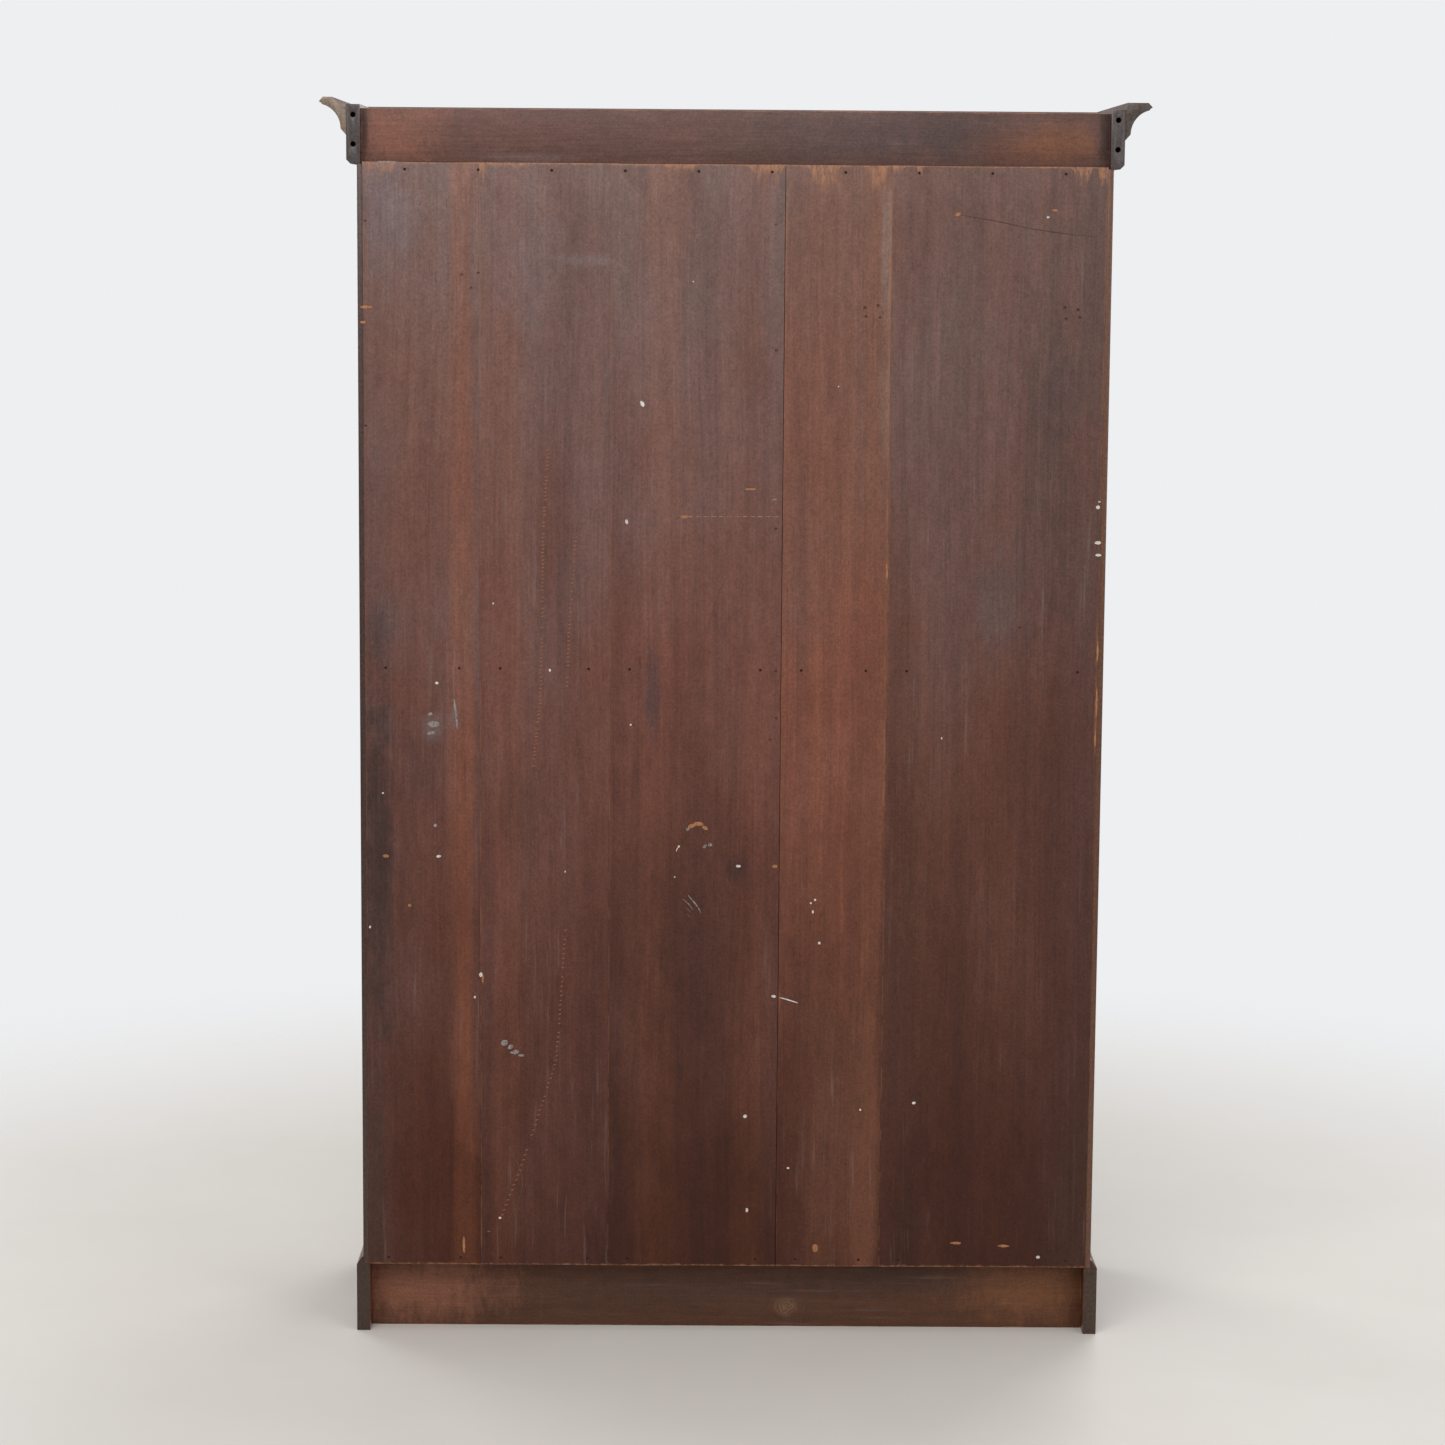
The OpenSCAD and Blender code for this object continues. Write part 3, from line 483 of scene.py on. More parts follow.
# French polished mahogany for the front and sides, with a soft ribbon figure
polish = {
    "dark": "3c1a10", "mid": "622c19", "light": "874226", "worn": "a4673a", "pore": "1d0c08",
    "coarse": 44.0, "fine": 520.0, "figure": 1.0, "pores": 0.5, "wear": 0.6, "wearWidth": 0.0035,
    "dust": 0.18, "roughness": (0.30, 0.46), "coat": 0.55, "coatRoughness": 0.16, "bump": 0.18,
}


def polishedWood(name, look, low, high, axis=2):
    look = {**polish, **look}
    seed = look["seed"]
    material, tree, shader, place = newMaterial(name)
    spot = place["Object"]
    grainVector = alongGrain(tree, spot, axis)
    grain = grainOf(tree, grainVector, look)
    flame = addNode(tree, "TexWave", {"Vector": grainVector, "Scale": 5.5, "Distortion": 7.0, "Detail": 3.0,
                                      "Detail Scale": 1.4, "Phase Offset": seed * 3.7},
                    wave_type="BANDS", bands_direction="X", wave_profile="SIN").outputs[1]
    share = calc(tree, "ADD", calc(tree, "MULTIPLY", grain["Streaks"], 0.6),
                 calc(tree, "MULTIPLY", flame, 0.22 * look["figure"]))
    ribbon = ramp(tree, pattern(tree, "ribbon", grainVector, seed), 0.3, 0.7, -0.06, 0.14)
    share = calc(tree, "ADD", share, ribbon)
    colour = blendColour(tree, ramp(tree, share, -0.05, 0.66), tone(look["dark"]), tone(look["mid"]))
    colour = blendColour(tree, ramp(tree, share, 0.48, 1.0), colour, tone(look["light"]))
    thread = ramp(tree, pattern(tree, "thread", grainVector, seed), 0.3, 0.7, 0.80, 1.20, smooth=False)
    colour = lightenBy(tree, colour, thread)
    colour = layColourOver(tree, colour, grain["Pores"], look["pores"], look["pore"])
    wear = wearOf(tree, spot, low, high, look)
    colour = layColourOver(tree, colour, wear, look["wear"], look["worn"])
    matt = calc(tree, "MULTIPLY", wear, 0.8)
    if "endGrain" in look:  # bare end grain on the faces that look to the rear
        rear = ramp(tree, addNode(tree, "SeparateXYZ", {0: place["Normal"]}).outputs[1], 0.6, 0.9)
        speck = ramp(tree, pattern(tree, "endGrain", spot, seed), 0.35, 0.65)
        first, second = look["endGrain"]
        colour = blendColour(tree, rear, colour, blendColour(tree, speck, tone(first), tone(second)))
        matt = rear
    coat = calc(tree, "MULTIPLY", calc(tree, "SUBTRACT", 1.0, matt), look["coat"])
    dust = dustOf(tree, place, look)
    setColour(tree, shader, layColourOver(tree, colour, dust, look["dust"], dustShade))
    tree.links.new(ramp(tree, grain["Fibres"], 0.0, 1.0, *look["roughness"]), shader.inputs["Roughness"])
    coat = calc(tree, "MULTIPLY", coat, ramp(tree, dust, 0.0, 1.0, 1.0, 0.3))
    tree.links.new(coat, shader.inputs["Coat Weight"])
    shader.inputs["Coat Roughness"].default_value = look["coatRoughness"]
    addBump(tree, shader, grain["Height"], look["bump"], 0.0004)
    return material


# Unpolished boards inside, with the same painted light from foot to top and painted sheen
rawToneAndShade = {"low": "6e4a34", "high": "85603f", "paintedSheen": "8c7560", "dark": "3a2519", "marginAmount": 0.0,
            "paintedSheenAmount": 0.3, "roughness": (0.6, 0.8), "specular": 0.25, "wear": 0.3, "bump": 0.5}


def rawWood(name, look, low, high, axis=2):
    return agedWood(name, {**rawToneAndShade, **look}, low, high, axis)


def agedMetal(name, look):
    material, tree, shader, place = newMaterial(name)
    spot = place["Object"]
    blotch = drawnNoise(tree, spot, look["seed"], look["scale"], look["scale"], 6.0, 0.65, 0.0)
    pits = calc(tree, "MULTIPLY", pattern(tree, "metalPits", spot, look["seed"]), 0.4)
    tarnish = ramp(tree, blotch, *look["tarnishRange"])
    setColour(tree, shader, blendColour(tree, tarnish, tone(look["bright"]), tone(look["tarnish"])))
    tree.links.new(ramp(tree, tarnish, 0.0, 1.0, *look["roughness"]), shader.inputs["Roughness"])
    tree.links.new(ramp(tree, tarnish, 0.0, 1.0, *look["metallic"]), shader.inputs["Metallic"])
    addBump(tree, shader, calc(tree, "ADD", blotch, pits), 0.2, 0.0003)
    return material


def markMaterial(name, colour, other, roughness, ragged=0.0, seed=0.0):
    material, tree, shader, place = newMaterial(name)
    mottle = pattern(tree, "paintMottle", place["Object"], seed)
    setColour(tree, shader, blendColour(tree, ramp(tree, mottle, 0.35, 0.65), tone(colour), tone(other)))
    shader.inputs["Roughness"].default_value = roughness
    if ragged:
        broken = pattern(tree, "raggedPaint", place["Object"], seed)
        tree.links.new(ramp(tree, broken, ragged, ragged + 0.12), shader.inputs["Alpha"])
    addBump(tree, shader, mottle, 0.3, 0.0002)
    return material


def glassMaterial(name):
    material, tree, shader, place = newMaterial(name)
    ripple = pattern(tree, "glassRipple", place["Object"], 2.0)
    setColour(tree, shader, blendColour(tree, ripple, tone("f4f9f6"), tone("e9f2ed")))
    shader.inputs["Roughness"].default_value = 0.0
    shader.inputs["Transmission Weight"].default_value = 1.0
    shader.inputs["IOR"].default_value = 1.45
    return material


brass = agedMetal("agedBrass", {
    "bright": "c49a4e", "tarnish": "5d4222", "tarnishRange": (0.42, 0.7), "roughness": (0.24, 0.55),
    "metallic": (1.0, 0.75), "seed": 3.0, "scale": 140.0})
steel = agedMetal("dullSteel", {
    "bright": "77736f", "tarnish": "3d2a21", "tarnishRange": (0.35, 0.62), "roughness": (0.35, 0.75),
    "metallic": (1.0, 0.35), "seed": 8.0, "scale": 140.0})
rustyIron = agedMetal("rustyIron", {
    "bright": "2c2422", "tarnish": "3f2418", "tarnishRange": (0.35, 0.62), "roughness": (0.55, 0.9),
    "metallic": (0.6, 0.1), "seed": 5.0, "scale": 400.0})
oldGlass = glassMaterial("oldGlass")
whitePaint = markMaterial("paintSpecks", "f2eee6", "d2c8bc", 0.6, seed=2.0)
palePaint = markMaterial("paintDabs", "b3a8a4", "958884", 0.65, ragged=0.40, seed=4.0)
bareWood = markMaterial("bareChips", "bf8458", "99643f", 0.7, ragged=0.27, seed=6.0)
scratchedWood = markMaterial("scratchedWood", "86624f", "765040", 0.7, ragged=0.42, seed=7.0)
paleScratch = markMaterial("paleScratch", "b9a08e", "a07a62", 0.7, ragged=0.38, seed=11.0)
rubbedTicks = markMaterial("rubbedTicks", "a56e4d", "8f6149", 0.7, ragged=0.33, seed=12.0)
crackDark = markMaterial("crackDark", "3a2723", "4c352f", 0.9, ragged=0.36, seed=9.0)
print("materials made")


# The boarded back. Band: place across, width, strength. Splash of wear at the top: place across, half width,
# reach. Rubbed edge: place across, half width, from, to, strength. Smudge: place across and up, width, height,
# strength, shade.
boardLooks = {
    "back_board_1": {
        "seed": 1.3, "low": "512717", "high": "84655b", "middle": "774d41", "marginAmount": 0.15,
        "greyEdge": "6c5c59",
        "bands": [(0.393, 0.028, 0.45)],
        "splashes": [(0.515, 0.034, 0.018)],
        "smudgesAndShadows": [
            (0.513, 1.06, 0.03, 0.07, 0.5, "4a4144"), (0.511, 0.92, 0.03, 0.05, 0.4, "524a4c"),
            (0.455, 0.86, 0.03, 0.08, 0.4, "4f352e"), (0.44, 0.915, 0.022, 0.03, 0.4, "7c7371"),
            (0.406, 0.93, 0.012, 0.02, 0.35, "7f7674"), (0.5, 1.67, 0.05, 0.12, 0.5, "81767a"),
            (0.52, 0.7, 0.03, 0.34, 0.8, "3e2a25"), (0.525, 0.22, 0.02, 0.26, 0.5, "44291f"),
        ],
    },
    "back_board_2": {
        "seed": 4.1, "low": "492315", "high": "7f6259", "middle": "774c40", "paintedSheenAmount": 0.22,
        "bands": [(0.33, 0.03, 0.14)],
        "splashes": [(0.366, 0.006, 0.034), (0.33, 0.03, 0.008)],
        "rubbedEdges": [(0.3685, 0.002, 1.25, 1.73, 0.25)],
        "smudgesAndShadows": [
            (0.21, 1.6, 0.06, 0.012, 0.25, "948888"), (0.3, 1.6, 0.06, 0.14, 0.25, "84767a"),
            (0.31, 0.8, 0.05, 0.1, 0.35, "50362d"),
        ],
    },
    "back_board_3": {
        "seed": 7.7, "low": "472314", "high": "7f6259", "middle": "784c40", "paintedSheenAmount": 0.22,
        "bands": [(0.1, 0.05, 0.16), (-0.03, 0.04, 0.16)],
        "splashes": [(0.08, 0.032, 0.012), (-0.045, 0.028, 0.036)],
        "smudgesAndShadows": [
            (0.118, 0.97, 0.016, 0.09, 0.45, "484148"), (-0.014, 0.71, 0.025, 0.03, 0.35, "33292b"),
            (0.06, 0.58, 0.12, 0.24, 0.25, "3d2923"),
        ],
    },
    "back_board_4": {
        "seed": 11.2, "low": "4b2415", "high": "7e6055", "middle": "875341", "paintedSheenAmount": 0.16,
        "warm": "8f5b42",
        "bands": [(-0.207, 0.034, 0.5), (-0.145, 0.055, 0.2)],
        "splashes": [(-0.128, 0.024, 0.04), (-0.206, 0.016, 0.05)],
        "rubbedEdges": [
            (-0.226, 0.003, 0.75, 1.72, 0.55), (-0.0745, 0.002, 1.45, 1.69, 0.45),
            (-0.0745, 0.0025, 0.47, 0.545, 0.8),
        ],
        "smudgesAndShadows": [
            (-0.22, 1.62, 0.012, 0.13, 0.55, "9b8276"), (-0.221, 1.4, 0.009, 0.12, 0.4, "96796a"),
            (-0.15, 0.35, 0.08, 0.25, 0.3, "5a3a2c"),
        ],
    },
    "back_board_5": {
        "seed": 15.9, "low": "472415", "high": "785b52", "middle": "6d4538", "paintedSheenAmount": 0.14,
        "marginAmount": 0.3, "greyEdge": "4a3531",
        "splashes": [
            (-0.236, 0.01, 0.01), (-0.266, 0.005, 0.026), (-0.5, 0.016, 0.034), (-0.532, 0.01, 0.03),
        ],
        "rubbedEdges": [(-0.537, 0.004, 0.85, 1.1, 0.55), (-0.537, 0.002, 1.15, 1.72, 0.3)],
        "smudgesAndShadows": [
            (-0.45, 1.3, 0.05, 0.35, 0.5, "54403c"), (-0.392, 1.11, 0.05, 0.1, 0.35, "655a5c"),
            (-0.47, 1.42, 0.05, 0.09, 0.35, "544848"), (-0.45, 0.85, 0.06, 0.3, 0.35, "4f3028"),
        ],
    },
}
boardShape = {"step": 0.075, "crossStep": 0.06, "cup": 0.0005, "arris": 0.00015, "ragged": 0.0009,
              "endReach": 0.004, "edgeReach": 0.002, "close": 0.00092, "tremble": 0.0001,
              "openJoint": "back_board_4", "outerEdges": 0.5}


def makeBackBoard(node):
    board = takeNode(node, node + "_aged")
    low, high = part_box(node)
    seed = boardLooks[node]["seed"]
    cutAlong(board, 2, boardShape["step"])
    cutAlong(board, 0, boardShape["crossStep"])
    roundEdges(board, boardShape["arris"])
    middle = (low.x + high.x) / 2
    for vertex in board.data.vertices:
        place = vertex.co.copy()
        wave = noise.noise(Vector((place.x * 7 + seed, 0, place.z * 2.3)))
        if place.y > backY - boardShape["endReach"]:
            cup = ((place.x - middle) / (high.x - low.x)) ** 2
            vertex.co.y += boardShape["cup"] * (wave - 0.3 - cup)
        if min(abs(place.z - low.z), abs(place.z - high.z)) < boardShape["endReach"]:
            vertex.co.z += boardShape["ragged"] * noise.noise(Vector((place.x * 60, seed, place.z)))
        # all joints but one are closed up; the outer edges stay where they are
        rightSide = abs(place.x - high.x) < abs(place.x - low.x)
        toEdge = min(abs(place.x - low.x), abs(place.x - high.x))
        if toEdge < boardShape["edgeReach"] and abs(place.x) < boardShape["outerEdges"]:
            closing = 0.0 if rightSide and node == boardShape["openJoint"] else boardShape["close"]
            vertex.co.x += closing * (1 if rightSide else -1)
            vertex.co.x += boardShape["tremble"] * noise.noise(Vector((seed, 0, place.z * 11)))
    return board


def nailPlaces(node):  # the middle of each nail of the CAD part
    editAll(takeNode(node, "nailsToMeasure"))
    bpy.ops.mesh.separate(type="LOOSE")
    endEdit()
    loose = list(bpy.context.selected_objects)
    places = []
    for piece in loose:
        low, high = sizeOf(piece)
        places.append(((low.x + high.x) / 2, (low.z + high.z) / 2))
    for piece in loose:
        bpy.data.objects.remove(piece)
    return sorted(places)


nailShape = {"radius": 0.0022, "length": 0.004, "round": 0.0006, "sunk": 0.0009, "tilt": 0.1, "corners": 12,
             "holeRadius": 0.0026, "holeDepth": 0.0022}
# Old holes that have lost their nails, as places across and up the back
oldHoles = [(0.395, 1.577), (0.371, 1.580), (0.382, 1.558), (0.535, 1.358), (0.534, 1.653),
            (-0.422, 1.069), (-0.057, 0.901), (-0.059, 1.652), (-0.061, 1.471), (-0.063, 1.212),
            (-0.065, 1.002), (-0.066, 0.933),
            (-0.189, 1.534), (-0.208, 1.537), (-0.211, 1.520), (-0.191, 1.521),
            (-0.479, 1.536), (-0.498, 1.533), (-0.481, 1.520), (-0.501, 1.522)]


def makeCutter(places, radius, depth, name):
    cutters = []
    for x, z in places:
        deselectAll()
        bpy.ops.mesh.primitive_cone_add(vertices=nailShape["corners"], radius1=radius * 0.7,
                                        radius2=radius * 1.1, depth=depth * 2, location=(x, backY, z),
                                        rotation=(-math.pi / 2, 0, 0))
        cutters.append(bpy.context.object)
    cutter = joinAll(cutters, name)
    settle(cutter)
    return cutter


def cutHoles(piece, cutter):
    activate(piece)
    holes = piece.modifiers.new("holes", "BOOLEAN")
    holes.operation = "DIFFERENCE"
    holes.solver = "EXACT"
    holes.object = cutter
    bpy.ops.object.modifier_apply(modifier=holes.name)


def makeNails(places):
    nails = []
    picker = random.Random(4)
    for x, z in places:
        deselectAll()
        bpy.ops.mesh.primitive_cylinder_add(vertices=nailShape["corners"], radius=nailShape["radius"],
                                            depth=nailShape["length"])
        nail = bpy.context.object
        bpy.ops.object.mode_set(mode="EDIT")
        bpy.ops.mesh.select_all(action="SELECT")
        bpy.ops.mesh.bevel(offset=nailShape["round"], segments=2, affect="EDGES", clamp_overlap=True)
        bpy.ops.transform.vertex_random(offset=0.00018, seed=picker.randint(0, 999))
        endEdit()
        tilt = picker.uniform(-nailShape["tilt"], nailShape["tilt"])
        nail.rotation_euler = (-math.pi / 2 + tilt, picker.uniform(0, 3), 0)
        nail.location = (x, backY - nailShape["length"] / 2 - nailShape["sunk"], z)
        nails.append(nail)
    joined = joinAll(nails, "back_nails_old")
    settle(joined)
    return joined


def makeBack():
    nails = nailPlaces("back_nails")
    cutter = makeCutter(nails + oldHoles, nailShape["holeRadius"], nailShape["holeDepth"], "holeCutter")
    for node in boardLooks:
        board = makeBackBoard(node)
        cutHoles(board, cutter)
        activate(board)
        bpy.ops.object.shade_smooth_by_angle(angle=math.radians(30))
        low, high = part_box(node)
        ends = [(high.z, 0.0038, 0.85, boardLooks[node]["splashes"]), (low.z, 0.004, 0.6, [])]
        look = {"wornEnds": ends, "wear": 0.2, "wearWidth": 0.0015, **boardLooks[node]}
        finishPiece(board, agedWood(node + "ToneAndShade", look, low, high), "case", [node])
    bpy.data.objects.remove(cutter)
    made = makeNails(nails)
    finishPiece(made, rustyIron, "case", ["back_nails"])
    print("back boards and", len(nails), "nails made")


makeBack()


# Marks of wear on the back, each a closed sliver that lies on the boards
def addFleck(place, width, tall, turn, seed, proud, corners):
    deselectAll()
    bpy.ops.mesh.primitive_cylinder_add(vertices=corners, radius=0.5, depth=1.0)
    fleck = bpy.context.object
    bpy.ops.object.mode_set(mode="EDIT")
    bpy.ops.mesh.select_all(action="SELECT")
    bpy.ops.transform.vertex_random(offset=0.11, seed=seed)
    bpy.ops.transform.resize(value=(width, tall, proud * 2.2), center_override=(0, 0, 0))
    endEdit()
    fleck.rotation_euler = (-math.pi / 2, 0, 0)
    settle(fleck)
    fleck.rotation_euler = (0, math.radians(turn), 0)
    fleck.location = (place[0], backY, place[1])
    settle(fleck)
    return fleck


def addStroke(name, points, width, proud=0.0003):  # a scratch through a few points, tapered at its ends
    curve = bpy.data.curves.new(name, "CURVE")
    curve.dimensions = "3D"
    curve.bevel_depth = width / 2
    curve.bevel_resolution = 1
    curve.use_fill_caps = True
    curve.resolution_u = 6
    line = curve.splines.new("NURBS")
    line.points.add(len(points) - 1)
    for i, point in enumerate(points):
        line.points[i].co = (point[0], 0.0, point[1], 1.0)
        line.points[i].radius = 0.35 if i in (0, len(points) - 1) else 1.0
    line.use_endpoint_u = True
    line.order_u = min(4, len(points))
    stroke = bpy.data.objects.new(name, curve)
    bpy.context.scene.collection.objects.link(stroke)
    activate(stroke)
    bpy.ops.object.convert(target="MESH")
    editAll(stroke)
    bpy.ops.transform.resize(value=(1.0, proud / (width / 2), 1.0), center_override=(0, 0, 0))
    bpy.ops.mesh.remove_doubles(threshold=0.00001)
    endEdit()
    stroke.location = (0, backY, 0)
    settle(stroke)
    return stroke


# White paint specks: across, up, width, height and turn, in millimetres and degrees
paintSpecks = [(133, 1393, 5, 9, 25), (155, 1221, 4, 7, 10), (433, 982, 5, 4, 0), (267, 1002, 3, 4, 0),
               (148, 922, 3, 3, 0), (431, 724, 7, 4, 8), (369, 546, 5, 7, 0), (378, 512, 3, 4, 0),
               (341, 175, 4, 3, 0), (-277, 355, 6, 4, 10), (-133, 597, 4, 4, 0), (-126, 662, 3, 4, 0),
               (-120, 657, 3, 3, 0), (-123, 644, 3, 5, 0), (-25, 333, 6, 5, 30), (-29, 189, 4, 6, 0),
               (-90, 254, 4, 3, 0), (-197, 344, 3, 3, 0), (-467, 119, 6, 4, 0), (-533, 1247, 6, 5, 0),
               (-535, 1255, 4, 2, 0), (-534, 1195, 9, 5, 0), (-535, 1177, 9, 4, 0), (-452, 1666, 4, 3, 0),
               (533, 617, 3, 4, 0), (513, 818, 3, 3, 0), (244, 702, 2, 3, 0), (-310, 905, 2, 3, 0),
               (-152, 1420, 2, 2, 0), (350, 1100, 2, 3, 0), (60, 1570, 2, 2, 0), (-66, 516, 7, 4, 0),
               (76, 741, 3, 3, 0), (-12, 712, 7, 4, 0), (82, 695, 2, 2, 0)]
# Larger dabs, thin enough for the stain to show through
paintDabs = [(334, 443, 10, 8, 20), (325, 437, 9, 6, 30), (317, 429, 9, 7, 10), (309, 424, 9, 4, 0),
             (322, 428, 8, 3, 0), (438, 921, 16, 9, 0), (441, 908, 12, 5, 10), (443, 936, 7, 5, 0),
             (38, 741, 7, 4, 40), (30, 744, 6, 5, 0), (436, 770, 5, 5, 0), (63, 767, 5, 6, 0),
             (502, 1738, 28, 2.5, 0), (-60, 1255, 9, 2, 0)]
# Chips down to the bare wood
bareChips = [(533, 1530, 17, 4.5, 0), (538, 1508, 8, 4, 0), (57, 772, 12, 6, 20), (47, 775, 14, 6, -5),
             (38, 769, 10, 5, -30), (509, 724, 9, 5, 0), (474, 650, 5, 5, 0), (-343, 140, 16, 4, 0),
             (-414, 136, 16, 4, 0),
             (-132, 131, 9, 12, 0), (-66, 712, 8, 5, 0), (70, 1229, 12, 5, 0), (-25, 1270, 16, 3, 0),
             (-322, 1669, 9, 5, 25), (-462, 1676, 8, 3, 0), (366, 540, 3, 12, 0), (-226, 1150, 3, 22, 0),
             (395, 133, 4, 24, 0), (-537, 1035, 3, 30, 0), (-537, 960, 3, 44, 0), (-536, 905, 3, 26, 0)]
# Strokes through a few points, each with its width at the middle
strokes = {
    "paint": [(3.2, [(-75, 514), (-88, 511), (-102, 506)]), (2.2, [(76, 741), (79, 738), (80, 733)])],
    "dab": [(6.5, [(408, 958), (405, 937), (403, 914)]), (3.0, [(62, 668), (56, 660), (47, 652), (43, 641)]),
            (2.0, [(70, 662), (60, 655), (55, 646)]), (1.6, [(66, 650), (58, 642)]),
            (1.2, [(64, 640), (57, 634)])],
    "scratch": [
        (1.5, [(8, 1140), (15, 1132), (33, 1085), (36, 1050), (50, 1028), (61, 1011)]),
        (1.4, [(335, 300), (318, 270), (300, 232), (312, 200), (336, 160)]),
        (1.2, [(268, 372), (262, 410), (255, 455)]), (1.2, [(-105, 525), (-85, 560), (-75, 600)]),
        (1.2, [(-10, 1448), (-22, 1460), (-45, 1466)]), (1.1, [(290, 820), (250, 760), (235, 730)]),
        (1.2, [(420, 1000), (436, 960), (441, 930)]), (1.3, [(22, 730), (8, 700), (-4, 672)]),
        (1.4, [(-112, 498), (-125, 488), (-132, 478)]), (1.1, [(160, 1010), (175, 960), (172, 900)]),
        (1.2, [(-470, 1290), (-505, 1292)]), (1.1, [(-300, 760), (-285, 700), (-288, 640)]),
    ],
}
# A row of short dashes, as a dragged corner leaves
dashes = {"from": (79, 1229), "to": (-68, 1230), "count": 13, "width": 1.8}
crack = [(-322, 1669), (-352, 1664), (-383, 1659), (-415, 1652), (-448, 1646), (-490, 1641), (-523, 1638)]
# Fine ladders of rubbed ticks: points from the top down, width of a tick and pitch, in millimetres
ladders = [
    ([(270, 1325), (277, 1208), (279, 1076), (281, 958), (292, 854)], 6.0, 5.5),
    ([(229, 1198), (238, 1076), (242, 973)], 4.5, 6.0),
    ([(244, 614), (250, 508), (257, 417), (281, 341)], 4.2, 7.0),
    ([(281, 341), (311, 249), (341, 172), (363, 148)], 5.5, 8.0),
]
millimetre = 0.001


def addLadder(points, width, pitch, seed):
    picker = random.Random(seed)
    tick = addFleck((0, 0), width, 0.0018, 14, seed, proud=0.00014, corners=6)
    ticks = []
    for start, end in zip(points, points[1:]):
        start, end = Vector(start) * millimetre, Vector(end) * millimetre
        count = max(1, round((end - start).length / pitch))
        for i in range(count):
            place = start.lerp(end, i / count)
            if picker.random() < 0.12:
                continue
            ticks.append(copyAt(tick, (place.x + picker.uniform(-1, 1) * 0.0006, 0, place.y)))
    bpy.data.objects.remove(tick)
    return ticks


def addFlecks(marks, proud, corners):
    made = []
    for i, (x, z, width, tall, turn) in enumerate(marks):
        made.append(addFleck((x * millimetre, z * millimetre), width * millimetre, tall * millimetre,
                             turn, i + 3, proud, corners))
    return made


def addStrokes(kind):
    return [addStroke(kind, [(x * millimetre, z * millimetre) for x, z in points], width * millimetre)
            for width, points in strokes[kind]]


def makeMarks():
    groups = (("paint_specks", addFlecks(paintSpecks, 0.0004, 12) + addStrokes("paint"), whitePaint),
              ("paint_dabs", addFlecks(paintDabs, 0.00012, 14) + addStrokes("dab"), palePaint),
              ("bare_chips", addFlecks(bareChips, 0.00018, 12), bareWood),
              ("scratches", addStrokes("scratch"), scratchedWood))
    for name, made, material in groups:
        finishPiece(joinAll(made, name), material, "case")
    row = []
    for i in range(dashes["count"]):
        start, end = Vector(dashes["from"]) * millimetre, Vector(dashes["to"]) * millimetre
        first = start.lerp(end, (i + 0.12) / dashes["count"])
        last = start.lerp(end, (i + 0.85) / dashes["count"])
        row.append(addStroke("dash", [first, first.lerp(last, 0.5), last], dashes["width"] * millimetre))
    finishPiece(joinAll(row, "dashed_scratch"), paleScratch, "case")
    line = addStroke("crack", [(x * millimetre, z * millimetre) for x, z in crack], 0.0007, 0.0001)
    finishPiece(line, crackDark, "case")
    ticks = []
    for i, (points, width, pitch) in enumerate(ladders):
        ticks += addLadder(points, width * millimetre, pitch * millimetre, i + 20)
    finishPiece(joinAll(ticks, "rubbed_ticks"), rubbedTicks, "case")
    print("marks made,", len(ticks), "ticks")


makeMarks()


# Every other part keeps its CAD shape, with its arrises eased and its own finish
woodArris = 0.0008


def longAxis(node):
    low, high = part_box(node)
    size = high - low
    return max(range(3), key=lambda i: size[i])


